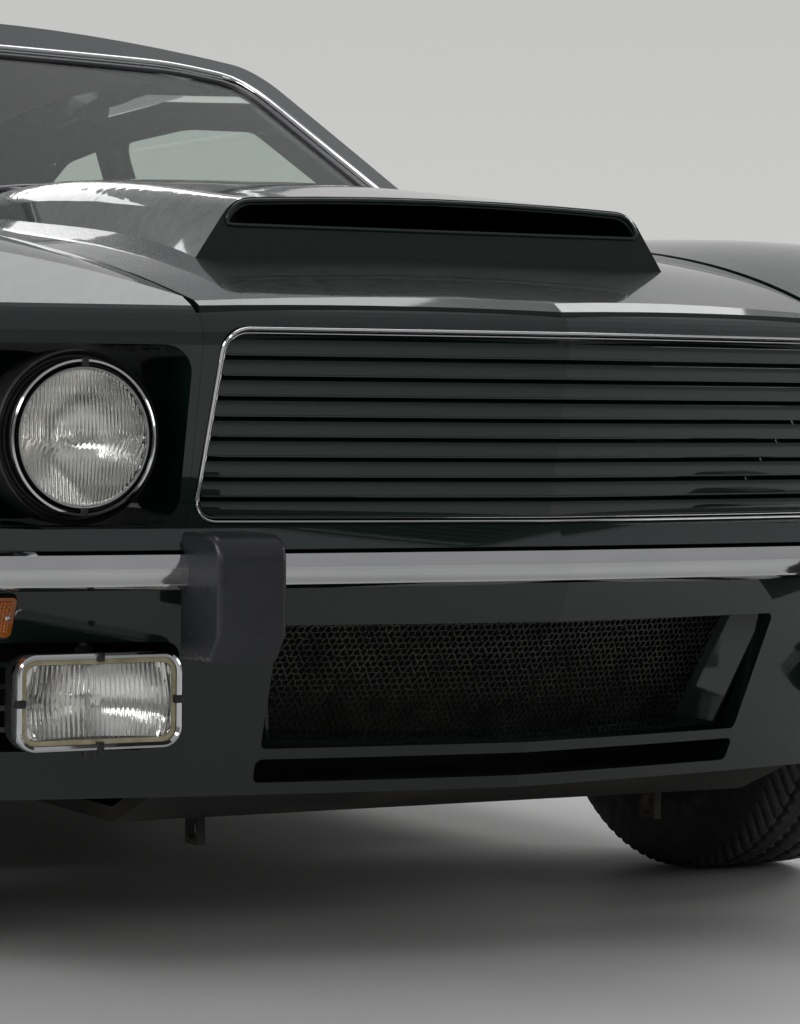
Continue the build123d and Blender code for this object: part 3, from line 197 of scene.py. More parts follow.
def green_paint(name, dust, crown=None):
    """Dark green gloss under lacquer, with dust up to a height of that many metres and crowned faces."""
    mat, add, join = finish(name, {"Coat Weight": 1.0, "Coat Roughness": 0.03, "Coat IOR": 1.55,
                                   "Specular IOR Level": 0.12})
    flake = grain(add, 900, 1)
    broad = grain(add, 3.0, 4)
    green = blended(add, flake, (0.0026, 0.0092, 0.0072), (0.0046, 0.0150, 0.0115))
    height = add("SeparateXYZ", {"Vector": add("TexCoord", {}).outputs["Object"]}).outputs["Z"]
    low = spread(add, height, 0.035, 0.0, 0.15, dust)
    film = add("Math", {0: low, 1: spread(add, broad, 0.3, 1.0)}, operation="MULTIPLY").outputs[0]
    shade = add("Mix", {"Factor": film, "A": green}, data_type="RGBA")
    shade.inputs["B"].default_value = (0.10, 0.09, 0.075, 1)
    join(shade.outputs["Result"], "Base Color")
    join(spread(add, grain(add, 60, 4), 0.28, 0.40), "Roughness")
    peel = add("Math", {0: grain(add, 120, 2), 1: 0.000005}, operation="MULTIPLY").outputs[0]
    if crown:
        peel = add("Math", {0: peel, 1: crowned(add, *crown)}, operation="ADD").outputs[0]
    join(dent(add, peel, 1.0), "Coat Normal")
    return mat


paint = green_paint("green_paint", 0.55)
PAINTED = ("wing_left wing_right bonnet nose_panel air_dam cabin_shell door_left door_right "
           "boot_lid rear_panel").split()


def coat(node, mat, slot):
    """Puts a finish on a CAD node. Its slot is not used."""
    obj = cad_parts[node]
    obj.data.materials.clear()
    obj.data.materials.append(mat)
    return obj


for node in PAINTED:
    coat(node, paint, "paint")
coat("grille_slats", green_paint("blade_paint", 0.55, (0.5500, 0.02333, 0.0014)), "paint")


# Bright work: pressed steel bumper bars and the slim grille frame, copper and nickel plated
# under chrome. The plate carries fine polishing marks and a thin grey bloom in patches.
def plated(name, shade=0.66, smooth=0.05, crown=None):
    """Chrome plate of that lightness and smoothness, its level faces crowned where asked."""
    mat, add, join = finish(name, {"Metallic": 1.0})
    bloom = grain(add, 14, 5)
    tone = [shade * k for k in (0.93, 0.94, 0.95)]
    join(blended(add, bloom, tone, (shade, shade, shade * 1.01)), "Base Color")
    join(spread(add, grain(add, 30, 5, (1, 8, 8)), smooth, smooth * 2.6), "Roughness")
    height = add("Math", {0: grain(add, 90, 3), 1: 0.00003}, operation="MULTIPLY").outputs[0]
    if crown:
        height = add("Math", {0: height, 1: crowned(add, *crown)}, operation="ADD").outputs[0]
    join(dent(add, height, 1.0), "Normal")
    return mat


chrome = plated("chrome_plate")
coat("bumpers", plated("bumper_plate", 0.60, 0.05, (0.497, 0.018, 0.0013)), "chrome")


# Rubber overriders: moulded blocks bolted through the bar. The moulding is charcoal, satin and
# slightly chalky with age, with the fine pitting of its mould.
rubber = made_of("moulded_rubber", {"Specular IOR Level": 0.4},
                 ((7, 6), (0.014, 0.015, 0.018), (0.026, 0.027, 0.031)), ((40, 5), 0.24, 0.38),
                 ((700, 3), 0.0002, 0.25))
coat("overriders", rubber, "rubber")


# Headlamps: a domed, fluted glass held in a plated double ring with a notch above and below,
# over a silvered bowl and its bulb, all in a satin black pressed bowl inside the recess.
def station(s):
    """Y in metres of a station in millimetres behind the nose."""
    return -2.2785 + s / 1000


def surface(grid, tube=False, loop=False, ends=False):
    """A surface from a grid of points: tube joins the columns round, loop joins the rows round, and
    ends closes the first and last rows."""
    rows, cols = grid.shape[:2]
    i = np.arange(rows if loop else rows - 1)[:, None]
    j = np.arange(cols if tube else cols - 1)[None, :]
    below, beside = (i + 1) % rows, (j + 1) % cols
    quads = np.stack([i * cols + j, i * cols + beside, below * cols + beside, below * cols + j], -1)
    last = (rows - 1) * cols
    lids = [np.arange(cols)[::-1], np.arange(last, last + cols)] if ends else []
    return grid.reshape(-1, 3), quads.reshape(-1, 4), lids


def build(name, surfaces, mat, slot, body="chassis", sharp=32):
    """One piece from several surfaces: doubles merged, faces turned outwards, riding on a body."""
    points, loops, sizes, base = [], [], [], 0
    for verts, quads, lids in surfaces:
        points.append(verts)
        loops.append(quads.ravel() + base)
        sizes.append(np.full(len(quads), 4))
        for lid in lids:
            loops.append(lid + base)
            sizes.append([len(lid)])
        base += len(verts)
    points, loops, sizes = np.concatenate(points), np.concatenate(loops), np.concatenate(sizes)
    mesh = bpy.data.meshes.new(name)
    mesh.vertices.add(len(points))
    mesh.vertices.foreach_set("co", points.astype(np.float32).ravel())
    mesh.loops.add(len(loops))
    mesh.loops.foreach_set("vertex_index", loops.astype(np.int32))
    mesh.polygons.add(len(sizes))
    mesh.polygons.foreach_set("loop_start", (np.cumsum(sizes) - sizes).astype(np.int32))
    mesh.update(calc_edges=True)
    shell = bmesh.new()
    shell.from_mesh(mesh)
    bmesh.ops.remove_doubles(shell, verts=shell.verts, dist=2e-6)
    bmesh.ops.recalc_face_normals(shell, faces=shell.faces)
    shell.to_mesh(mesh)
    shell.free()
    mesh.shade_smooth()
    mesh.set_sharp_from_angle(angle=radians(sharp))
    mesh.materials.append(mat)
    made = bpy.data.objects.new(name, mesh)
    bpy.context.scene.collection.objects.link(made)
    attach(made, body)
    return made


def turned(profile, centre, axis=1, steps=64, ring=False):
    """A profile of (along, radius) points turned about an axis through a centre. The profile of a
    ring is closed."""
    along, radius = np.array(profile, float).T
    angle = np.linspace(0, 2 * pi, steps, endpoint=False)
    first, second = [k for k in range(3) if k != axis]
    grid = np.zeros((len(along), steps, 3))
    grid[..., axis] = along[:, None]
    grid[..., first] = radius[:, None] * np.cos(angle)
    grid[..., second] = radius[:, None] * np.sin(angle)
    return surface(grid + np.array(centre), tube=True, loop=ring, ends=not ring)


def opposite(surfaces):
    """The same surfaces on the other side of the car."""
    return [(verts * (-1, 1, 1), quads, lids) for verts, quads, lids in surfaces]


def pair(surfaces):
    """Surfaces of the left side with their twins on the right."""
    return surfaces + opposite(surfaces)


def rounded(width, height, corner, steps=6):
    """Points round a rectangle with rounded corners, counter-clockwise."""
    turn = np.linspace(0, pi / 2, steps + 1)
    loops = []
    for k, (i, j) in enumerate(((1, 1), (-1, 1), (-1, -1), (1, -1))):
        angle = turn + k * pi / 2
        x = i * (width / 2 - corner) + corner * np.cos(angle)
        z = j * (height / 2 - corner) + corner * np.sin(angle)
        loops.append(np.stack([x, z], -1))
    return np.concatenate(loops)


def fluted(half_width, half_height, front, thick, relief, columns, rows):
    """A closed glass in upright columns: half_height(x) gives its outline, front(x, z) the smooth outer
    face, and relief(x, z) the flutes added to its inner face, thick behind it."""
    x = np.linspace(-1, 1, columns) * half_width
    share = np.linspace(-1, 1, rows)
    z = half_height(x)[:, None] * share[None, :]
    x = np.repeat(x[:, None], rows, 1)
    outer = np.stack([x, front(x, z), z], -1)
    inner = np.stack([x, front(x, z) + thick + relief(x, z), z], -1)
    return surface(np.concatenate([outer, inner[:, ::-1]], 1), tube=True, ends=True)


def moved(surfaces, place):
    """Surfaces moved by a place."""
    return [(verts + np.array(place), quads, lids) for verts, quads, lids in surfaces]


def lamp_flutes(x, z):
    """Upright flutes, bowed outwards at mid height, and a band of slanted prisms across the middle."""
    bowed = x * (1 + 0.10 * (z / 0.076) ** 2)
    upright = np.abs(np.sin(pi * bowed / 0.0046))
    band = np.clip(1 - np.abs((z + 0.012) / 0.012) ** 4, 0, 1)
    slanted = np.abs(np.sin(pi * (x + 0.5 * z) / 0.0062))
    return 0.0013 * (upright * (1 - band) + slanted * band) + 0.0006 * np.sin(pi * z / 0.021)


LAMP = (0.584, station(97), 0.642)
LENS_EDGE = 0.077
clear = made_of("lamp_glass", {"Transmission Weight": 1.0, "IOR": 1.5, "Base Color": (0.97, 0.98, 0.97, 1)},
                rough=((60, 4), 0.0, 0.05))
silver = made_of("silvered_bowl", {"Metallic": 1.0}, ((35, 4), (0.80, 0.79, 0.76), (0.92, 0.91, 0.89)),
                 ((35, 4), 0.06, 0.16))
black = made_of("satin_black_metal", {"Specular IOR Level": 0.5},
                ((12, 5), (0.006, 0.006, 0.0065), (0.014, 0.014, 0.015)), ((45, 5), 0.3, 0.5),
                ((350, 3), 0.00012, 0.5))
glass_face = fluted(LENS_EDGE, lambda x: np.sqrt(np.clip(LENS_EDGE**2 - x**2, 0, None)),
                    lambda x, z: -0.011 + 0.009 * (x**2 + z**2) / LENS_EDGE**2, 0.003, lamp_flutes, 300, 44)
build("headlamp_glasses", pair(moved([glass_face], LAMP)), clear, "lamp", sharp=80)
bowl_radius = np.linspace(0.076, 0.012, 22)
bowl = np.stack([0.052 - 0.048 * (bowl_radius / 0.076) ** 2, bowl_radius], -1)
shell = np.concatenate([bowl, bowl[::-1] + (0.003, 0)])
build("headlamp_bowls", pair([turned(shell, LAMP, steps=96, ring=True)]), silver, "lamp")
bulb = [(0.020, 0.0), (0.021, 0.004), (0.024, 0.007), (0.044, 0.007), (0.049, 0.012), (0.056, 0.012),
        (0.056, 0.0)]
shield = [(0.012, 0.0), (0.012, 0.008), (0.0135, 0.0095), (0.022, 0.0095), (0.022, 0.008),
          (0.016, 0.0075), (0.016, 0.0)]
build("headlamp_bulbs", pair([turned(p, LAMP, steps=24) for p in (bulb, shield)]), silver, "lamp")
rim_outer = [(-0.002, 0.0835), (-0.006, 0.0855), (-0.005, 0.0880), (0.002, 0.0890), (0.018, 0.0890),
             (0.018, 0.0840)]
rim_inner = [(0.000, 0.0765), (-0.005, 0.0775), (-0.005, 0.0795), (0.000, 0.0805), (0.012, 0.0805),
             (0.012, 0.0770)]
rims = [turned(p, LAMP, steps=128, ring=True) for p in (rim_outer, rim_inner)]
build("headlamp_rims", pair(rims), chrome, "chrome")
pod = [(0.007, 0.0812), (0.003, 0.0825), (0.003, 0.0838), (0.022, 0.0850), (0.020, 0.0930),
       (0.012, 0.0975), (0.014, 0.0998), (0.030, 0.0998), (0.068, 0.0985), (0.100, 0.090),
       (0.1275, 0.070), (0.1275, 0.0), (0.120, 0.0), (0.095, 0.078), (0.055, 0.0800)]
pods = build("headlamp_pods", pair([turned(pod, LAMP, steps=128, ring=True)]), black, "black_metal")
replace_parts(pods, "headlamps")


def carried(path, section, loop=False, up=(0, 0, 1)):
    """A section of (across, above) points carried along a path, its above kept as near to up as it can be."""
    path, section = np.array(path, float), np.array(section, float)
    ahead = np.roll(path, -1, 0) - np.roll(path, 1, 0) if loop else np.gradient(path, axis=0)
    ahead /= np.linalg.norm(ahead, axis=1, keepdims=True)
    across = np.cross(ahead, up)
    across[np.linalg.norm(across, axis=1) < 1e-6] = (1, 0, 0)
    across /= np.linalg.norm(across, axis=1, keepdims=True)
    above = np.cross(across, ahead)
    grid = path[:, None] + section[None, :, :1] * across[:, None] + section[None, :, 1:] * above[:, None]
    return surface(grid, tube=True, loop=loop, ends=not loop)


def bar(low, high, corner=0.001):
    """A box between two corners, its long edges rounded, carried along its longest side."""
    low, high = np.array(low, float), np.array(high, float)
    size, middle = high - low, (low + high) / 2
    along = int(np.argmax(size))
    upward = (0, 0, 1) if along != 2 else (0, 1, 0)
    ends = np.repeat(middle[None], 4, 0)
    ends[:, along] = low[along], low[along] + corner, high[along] - corner, high[along]
    way = np.zeros(3)
    way[along] = 1
    across = np.abs(np.cross(way, upward))
    width, height = size @ across, size @ np.array(upward)
    shapes = [rounded(width - inset, height - inset, corner, 3) for inset in (corner, 0, 0, corner)]
    side = np.cross(way, upward)
    grid = np.stack([e + s[:, :1] * side + s[:, 1:] * np.array(upward, float) for e, s in zip(ends, shapes)])
    return surface(grid, tube=True, ends=True)


notches = []
for z in (LAMP[2] - 0.0842, LAMP[2] + 0.0842):
    notches.append(bar((LAMP[0] - 0.004, LAMP[1] - 0.0075, z - 0.005),
                       (LAMP[0] + 0.004, LAMP[1], z + 0.005)))
build("headlamp_notches", pair(notches), black, "black_metal")


# Driving lamps: rectangular lamps under the bumper. A plated rim holds a fluted glass on a
# cream rubber gasket with four black spring clips, before a silvered bowl in a black shell.
SPOT_MIDDLE = (0.560, 0.3435)
SPOT_WIDE, SPOT_HIGH, SPOT_CORNER = 0.204, 0.111, 0.024
SPOT_FRONT = station(96)


def spot_outline(inset):
    """The lamp's outline, drawn in by an inset."""
    shape = rounded(SPOT_WIDE - 2 * inset, SPOT_HIGH - 2 * inset, SPOT_CORNER - inset, 10)
    sides = [np.linspace(a, b, 12, endpoint=False) for a, b in zip(shape, np.roll(shape, -1, 0))
             if np.linalg.norm(a - b) > 0.02]
    sides = np.concatenate(sides + [shape])
    centred = sides[np.argsort(np.arctan2(sides[:, 1] / SPOT_HIGH, sides[:, 0] / SPOT_WIDE), kind="stable")]
    return centred + SPOT_MIDDLE


def spot_loop(inset, y):
    """The outline as points in space at one y."""
    flat = spot_outline(inset)
    return np.stack([flat[:, 0], np.full(len(flat), y), flat[:, 1]], -1)


def spot_ring(rows):
    """A ring round the lamp from (inset, y behind the lamp's front) rows, closed on itself."""
    return surface(np.stack([spot_loop(inset, SPOT_FRONT + y) for inset, y in rows]), tube=True, loop=True)


def spot_flutes(x, z):
    """Upright flutes that lean outwards from the middle, with a plain band of shallow waves across."""
    fan = x * (1 + 1.6 * np.abs(z))
    wave = np.clip(1 - ((z + 0.012) / 0.010) ** 4, 0, 1)
    return 0.0012 * np.abs(np.sin(pi * fan / 0.0062)) + 0.0010 * wave * np.cos(pi * x / 0.018)


spot_rim = spot_ring([(0.0035, -0.001), (0.0010, 0.0), (0.0, 0.004), (0.0, 0.016), (0.004, 0.018),
                      (0.0068, 0.010),
                      (0.0068, 0.001)])
gasket_ring = spot_ring([(0.0072, 0.0035), (0.0072, 0.008), (0.0128, 0.008), (0.0128, 0.0035)])
spot_shell = spot_ring([(0.0008, 0.0165), (0.001, 0.030), (0.006, 0.050), (0.022, 0.0615), (0.05, 0.0618),
                        (0.05, 0.058), (0.02, 0.057), (0.006, 0.046), (0.006, 0.020)])
spot_place = (SPOT_MIDDLE[0], SPOT_FRONT, SPOT_MIDDLE[1])
glass_wide, glass_high, glass_corner = SPOT_WIDE / 2 - 0.0132, SPOT_HIGH / 2 - 0.0132, 0.012


def spot_height(x):
    """Half height of the rectangular glass at a place across it, its corners rounded."""
    into = np.clip(np.abs(x) - (glass_wide - glass_corner), 0, glass_corner)
    return glass_high - glass_corner + np.sqrt(np.clip(glass_corner**2 - into**2, 0, None))


def spot_dome(x, z):
    """The glass's outer face: it falls back with the square of the way to its edges."""
    return 0.001 + 0.003 * ((x / glass_wide) ** 2 + (z / glass_high) ** 2) / 2


def spot_mirror(x, z):
    """The bowl's face: a paraboloid, flatter upright than across."""
    return 0.050 - 0.040 * np.clip((x / glass_wide) ** 2 + 0.35 * (z / glass_high) ** 2, 0, 1)


spot_glass = moved([fluted(glass_wide, spot_height, spot_dome, 0.003, spot_flutes, 240, 34)], spot_place)
spot_bowl = moved([fluted(glass_wide, spot_height, spot_mirror, 0.002, lambda x, z: 0 * x, 60, 30)],
                  spot_place)
cream = made_of("cream_gasket", {"Roughness": 0.55}, ((50, 5), (0.28, 0.24, 0.13), (0.46, 0.42, 0.28)))
build("driving_lamp_rims", pair([spot_rim]), chrome, "chrome")
build("driving_lamp_gaskets", pair([gasket_ring]), cream, "rubber")
build("driving_lamp_glasses", pair(spot_glass), clear, "lamp", sharp=80)
build("driving_lamp_bowls", pair(spot_bowl), silver, "lamp")
shells = build("driving_lamp_shells", pair([spot_shell]), black, "black_metal")
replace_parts(shells, "driving_lamps")
clips = []
for x, z, wide, high in ((0, 0.0505, 0.004, 0.005), (0.097, 0, 0.0055, 0.0045)):
    for k in (1, -1):
        clips.append(bar((k * x - wide, -0.003, k * z - high), (k * x + wide, 0.006, k * z + high)))
build("driving_lamp_clips", pair(moved(clips, spot_place)), black, "black_metal")
spot_bulb = [(0.014, 0.0), (0.014, 0.006), (0.018, 0.008), (0.048, 0.008), (0.048, 0.0)]
build("driving_lamp_bulbs", pair([turned(spot_bulb, spot_place, steps=24)]), silver, "lamp")
stems = [turned([(-0.004, 0.0), (-0.004, 0.010), (0.002, 0.012), (0.004, 0.006), (0.0100, 0.006),
                 (0.0100, 0.0)],
                (SPOT_MIDDLE[0], SPOT_FRONT + 0.050, 0.4000), 2, 24)]
feet = [turned([(-0.012, 0.0), (-0.012, 0.005), (-0.008, 0.009), (0.004, 0.009), (0.004, 0.0)],
               (SPOT_MIDDLE[0], SPOT_FRONT + 0.030, 0.2860), 2, 24)]
build("driving_lamp_stems", pair(stems + feet), black, "black_metal")


# Front indicators: an amber moulded lens of small pyramids in two fields, screwed over a thin
# black gasket on the raked face of the air dam below the bumper.
def nose_curve(x):
    """How far the nose lies back at a distance x from the middle, in metres."""
    return 0.11 * np.abs(x) + x * x / 8.0


def dam_face(x, z, out):
    """Y of a point on the raked air dam face, that far out of it."""
    return station(25) + 0.47 * (0.423 - z) + nose_curve(x) - out * sqrt(1 + 0.47**2)


INDICATOR_MIDDLE = (0.705, 0.438)


def divided(flat, count):
    """A closed outline with each of its sides divided into a count of steps."""
    sides = zip(flat, np.roll(flat, -1, 0))
    return np.concatenate([np.linspace(a, b, count, endpoint=False) for a, b in sides])


def indicator_skin(width, height, corner, low, high, rows=18):
    """A rounded plate on the dam's face, its side rising from low to high."""
    outline = divided(rounded(width, height, corner, 4), 8)
    share = np.concatenate([[1.0, 1.0, 0.985], np.linspace(0.96, 0, rows)])[:, None]
    x = outline[None, :, 0] * share
    z = outline[None, :, 1] * share
    lift = np.full(x.shape, high)
    lift[0], lift[2] = low, high + 0.0004
    x, z = x + INDICATOR_MIDDLE[0], z + INDICATOR_MIDDLE[1]
    return surface(np.stack([x, dam_face(x, z, lift), z], -1), tube=True)


def pyramids(x, z):
    """Small pyramids on a square pitch in two fields, parted by an upright groove, inside a flat rim."""
    pitch = np.where(x > -0.016, 0.0052, 0.0037)
    cells = np.abs(np.sin(pi * x / pitch)) * np.abs(np.sin(pi * z / pitch))
    inside = np.clip((0.050 - np.abs(x)) / 0.001, 0, 1) * np.clip((0.0185 - np.abs(z)) / 0.001, 0, 1)
    groove = np.clip(np.abs(x + 0.016) / 0.0012 - 0.4, 0, 1)
    return inside * groove * (0.0018 + 0.0013 * cells)


def lens_height(x):
    """Half height of the lens at a place across it, its corners rounded."""
    into = np.clip(np.abs(x) - 0.049, 0, 0.006)
    return 0.017 + np.sqrt(np.clip(0.006**2 - into**2, 0, None))


amber = made_of("amber_lens", {"Coat Weight": 0.6, "Transmission Weight": 0.25, "IOR": 1.49,
                               "Roughness": 0.12,
                               "Subsurface Weight": 0.3, "Subsurface Scale": 0.01},
                ((45, 4), (0.36, 0.085, 0.006), (0.66, 0.19, 0.012)))
points, faces, lids = fluted(0.055, lens_height, lambda x, z: 0.0065 + pyramids(x, z), -0.003,
                             lambda x, z: 0 * x, 220, 90)
lens = points + (INDICATOR_MIDDLE[0], 0, INDICATOR_MIDDLE[1])
lens[:, 1] = dam_face(lens[:, 0], lens[:, 2], points[:, 1])
lens = build("indicator_lenses", pair([(lens, faces, lids)]), amber, "amber", sharp=20)
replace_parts(lens, "indicators")
pad = indicator_skin(0.114, 0.050, 0.007, 0.0003, 0.0034)
build("indicator_gaskets", pair([pad]), rubber, "rubber")
screws = []
for x in (INDICATOR_MIDDLE[0] - 0.0475, INDICATOR_MIDDLE[0] + 0.0475):
    screw = [(0.004, 0.0), (0.004, 0.0032), (-0.0004, 0.0032), (-0.0012, 0.002), (-0.0012, 0.0)]
    screws.append(turned(screw, (x, dam_face(x, INDICATOR_MIDDLE[1], 0.0085), INDICATOR_MIDDLE[1]),
                         steps=20))
build("indicator_screws", pair(screws), chrome, "chrome")


# Intake mesh: fine expanded honeycomb of black painted steel behind the air dam's mouth. Its
# cells are about eight millimetres across and slightly uneven, as pressed mesh is.
CELL, WIRE, SHEET = 0.0084, 0.00050, 0.003
DUCT_BACK = -0.0725
across = np.arange(-0.330, 0.3301, CELL)
rows_z = np.arange(0.284, 0.4241, CELL * sqrt(3) / 2)
cx, cz = np.meshgrid(across, rows_z)
cx = cx + (np.arange(len(rows_z)) % 2)[:, None] * CELL / 2
centre = np.stack([cx.ravel(), cz.ravel()], -1)
spoke = np.arange(6) * pi / 3 + pi / 6
hexagon = np.stack([np.cos(spoke), np.sin(spoke)], -1)
outer_size = CELL / sqrt(3)
rings = []
inner_size = outer_size - 2 * WIRE
for size, back in ((outer_size, 0.0), (inner_size, 0.0), (inner_size, SHEET), (outer_size, SHEET)):
    flat = centre[:, None] + size * hexagon
    flat = flat + 0.0011 * np.sin(flat[..., ::-1] * (910, 1070) + np.sin(flat * (353, 287)) * 2)
    y = dam_face(flat[..., 0], flat[..., 1], DUCT_BACK) + back
    rings.append(np.stack([flat[..., 0], y, flat[..., 1]], -1))
cells = np.stack(rings, 1)
level, turn = np.arange(3)[:, None] * 6, np.arange(6)[None, :]
beside = (turn + 1) % 6
one_cell = np.stack([level + turn, level + beside, level + 6 + beside, level + 6 + turn], -1).reshape(-1, 4)
quads = (one_cell[None] + np.arange(len(cells))[:, None, None] * 24).reshape(-1, 4)
mesh_metal = made_of("mesh_metal", {"Metallic": 0.6}, ((25, 5), (0.012, 0.012, 0.012), (0.06, 0.057, 0.054)),
                     ((80, 4), 0.3, 0.5))
honeycomb = build("intake_honeycomb", [(cells.reshape(-1, 3), quads, [])], mesh_metal, "black_metal")
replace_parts(honeycomb, "intake_mesh")


# Grille surround: a slim D-section strip of plated brass round the opening, with a second thin
# bead inside it, and a painted rolled edge along each blade.
def face_y(x, z, back=0.0):
    """Y of the raked grille face, that far behind it."""
    return station(46) - 0.2 * (z - 0.544) + nose_curve(x) + back


def grille_loop(inset, back):
    """The grille's outline on its face: a trapezoid with rounded corners, drawn in by an inset."""
    foot, head, low, high = 0.440 - inset, 0.422 - inset, 0.542 + inset, 0.770 - inset
    corner = 0.030 - inset
    square = rounded(2, 2, corner, 8)
    z_place = (low + high) / 2 + np.sign(square[:, 1]) * ((high - low) / 2 - corner)
    z = z_place + square[:, 1] - np.sign(square[:, 1]) * (1 - corner)
    half = foot + (head - foot) * (z - low) / (high - low)
    x = np.sign(square[:, 0]) * (half - corner) + square[:, 0] - np.sign(square[:, 0]) * (1 - corner)
    flat = np.stack([x, z], -1)
    longer = []
    for a, b in zip(flat, np.roll(flat, -1, 0)):
        steps = max(1, int(np.linalg.norm(b - a) / 0.02))
        longer.append(np.linspace(a, b, steps, endpoint=False))
    flat = np.concatenate(longer)
    return np.stack([flat[:, 0], face_y(flat[:, 0], flat[:, 1], back), flat[:, 1]], -1)


def strand(width, height, steps=10):
    """An oval section."""
    angle = np.linspace(0, 2 * pi, steps, endpoint=False)
    return np.stack([width / 2 * np.cos(angle), height / 2 * np.sin(angle)], -1)


surround = [carried(grille_loop(inset, back), strand(wide, deep, 12), loop=True, up=(0, -1, 0.2))
            for inset, back, wide, deep in ((0.0026, 0.0015, 0.0046, 0.0060),
                                            (0.0074, 0.0060, 0.0030, 0.0040))]
surround = build("grille_surround", surround, chrome, "chrome")
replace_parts(surround, "grille_frame")
BLADES, BLADE_LOW, BLADE_TOP = 9, 0.551, 0.761
edges = []
for k in range(BLADES):
    z = BLADE_LOW + k * (BLADE_TOP - BLADE_LOW) / BLADES
    half = 0.4295 - 0.079 * (z - 0.542) - (0.015 if k == 0 else 0)
    x = np.linspace(-half, half, 41)
    edges.append(carried(np.stack([x, face_y(x, z, 0.0020), np.full(41, z)], -1), strand(0.0024, 0.0024, 8)))
build("blade_edges", edges, paint, "paint")


# Scoop lip: the edge of the bonnet scoop's mouth is rolled over a wire, so a round bead runs all
# the way round it, along the chin too. It is painted with the bonnet.
def spaced(corners, radius, step, loop=True):
    """Flat points along a polygon with its corners rounded, a step apart."""
    corners = np.array(corners, float)
    points, count = [], len(corners)
    for k in range(count):
        here, before, after = corners[k], corners[k - 1], corners[(k + 1) % count]
        if not loop and k in (0, count - 1):
            points.append(here[None])
            continue
        u, v = before - here, after - here
        trim = min(radius, np.linalg.norm(u) * 0.45, np.linalg.norm(v) * 0.45)
        a, b = here + u / np.linalg.norm(u) * trim, here + v / np.linalg.norm(v) * trim
        t = np.linspace(0, 1, 7)[:, None]
        points.append((1 - t) ** 2 * a + 2 * t * (1 - t) * here + t * t * b)
    points = np.concatenate(points)
    if loop:
        points = np.concatenate([points, points[:1]])
    run = np.concatenate([[0], np.cumsum(np.linalg.norm(np.diff(points, axis=0), axis=1))])
    at = np.linspace(0, run[-1], int(run[-1] / step) + 2, endpoint=not loop)
    return np.stack([np.interp(at, run, points[:, k]) for k in range(points.shape[1])], -1)


SCOOP_FRONT = station(329)
crown = [(x, 0.9355 - 0.008 * (x / 0.2815) ** 2) for x in np.linspace(-0.2815, 0.2815, 9)]
mouth = spaced([(-0.3017, 0.8985), *crown, (0.3017, 0.8985)], 0.040, 0.008)
bead = np.stack([mouth[:, 0], np.full(len(mouth), SCOOP_FRONT), mouth[:, 1]], -1)
build("scoop_lip", [carried(bead, strand(0.0060, 0.0060, 12), loop=True, up=(0, -1, 0))], paint, "paint",
      "bonnet")


# Window glass: laminated screen and toughened side and rear panes with a faint green tint. Each
# is set in a black rubber seal, with a bright plated strip pressed over the seal's outer lip.
pane = made_of("window_glass", {"Transmission Weight": 1.0, "IOR": 1.45,
                                "Base Color": (0.82, 0.89, 0.84, 1)},
               rough=((9, 5), 0.0, 0.01))
for node in ("windscreen", "rear_glasses", "door_glass_left", "door_glass_right"):
    coat(node, pane, "glass")


def onto(nodes, points, way):
    """Where rays from these points along a way first meet any of these CAD nodes, and the normals there."""
    way = Vector(way)
    found, facing = [], []
    for point in points:
        best = None
        for node in nodes:
            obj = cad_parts[node]
            back = obj.matrix_world.inverted()
            hit, place, normal, _ = obj.ray_cast(back @ Vector(point), back.to_3x3() @ way)
            if hit:
                place = obj.matrix_world @ place
                far = (place - Vector(point)).length
                if best is None or far < best[0]:
                    best = (far, place, (obj.matrix_world.to_3x3() @ normal).normalized())
        if best:
            found.append(best[1])
            facing.append(best[2])
    return np.array(found), np.array(facing)


def grown(corners, by):
    """A counter-clockwise or clockwise polygon with each side moved outwards."""
    corners = np.array(corners, float)
    sides = np.roll(corners, -1, 0) - corners
    area = np.sum(corners[:, 0] * np.roll(corners[:, 1], -1) - corners[:, 1] * np.roll(corners[:, 0], -1))
    normal = np.stack([sides[:, 1], -sides[:, 0]], -1) * np.sign(area)
    normal /= np.linalg.norm(normal, axis=1, keepdims=True)
    before = np.roll(normal, 1, 0)
    return corners + by * (normal + before) / (1 + np.sum(normal * before, 1, keepdims=True))


def strip(path, facing, width, height, sink=0.001, loop=True):
    """A half-round strip laid on a surface along a path, its base sunk a little into it."""
    angle = np.linspace(0, pi, 8)
    top = np.stack([width / 2 * np.cos(angle), height * np.sin(angle)], -1)
    section = np.concatenate([top, [(-width / 2, -sink), (width / 2, -sink)]])
    return carried(path, section, loop=loop, up=facing)


def smoothed(values, loop=True, passes=4):
    """Directions averaged with their neighbours along a path."""
    for _ in range(passes):
        before, after = np.roll(values, 1, 0), np.roll(values, -1, 0)
        if not loop:
            before[0], after[-1] = values[0], values[-1]
        values = (before + 2 * values + after) / 4
    return values / np.linalg.norm(values, axis=1, keepdims=True)


SCREEN = ((-0.612, 0.988), (-0.530, 1.230), (-0.400, 1.252), (0, 1.264), (0.400, 1.252), (0.530, 1.230),
          (0.612, 0.988))
BACKLIGHT = ((-0.470, 2975), (0.470, 2975), (0.505, 3640), (0, 3705), (-0.505, 3640))
DOOR_LIGHT = ((1716, 0.972), (2084, 1.163), (2350, 1.184), (2640, 1.173), (2630, 0.972))
QUARTER_LIGHT = ((2716, 0.972), (2722, 1.169), (2900, 1.150), (3215, 1.034), (3190, 0.972))


def metres(outline):
    """An outline of (station, height) as (y, z)."""
    return np.array([(station(s), z) for s, z in outline])


def ahead(p):
    """A point of a front view, placed before the car."""
    return (p[0], -2.6, p[1])


def beside(p):
    """A point of a side view, placed to the car's left."""
    return (1.4, p[0], p[1])


def over(p):
    """A point of a plan, placed over the car."""
    return (p[0], p[1], 1.8)


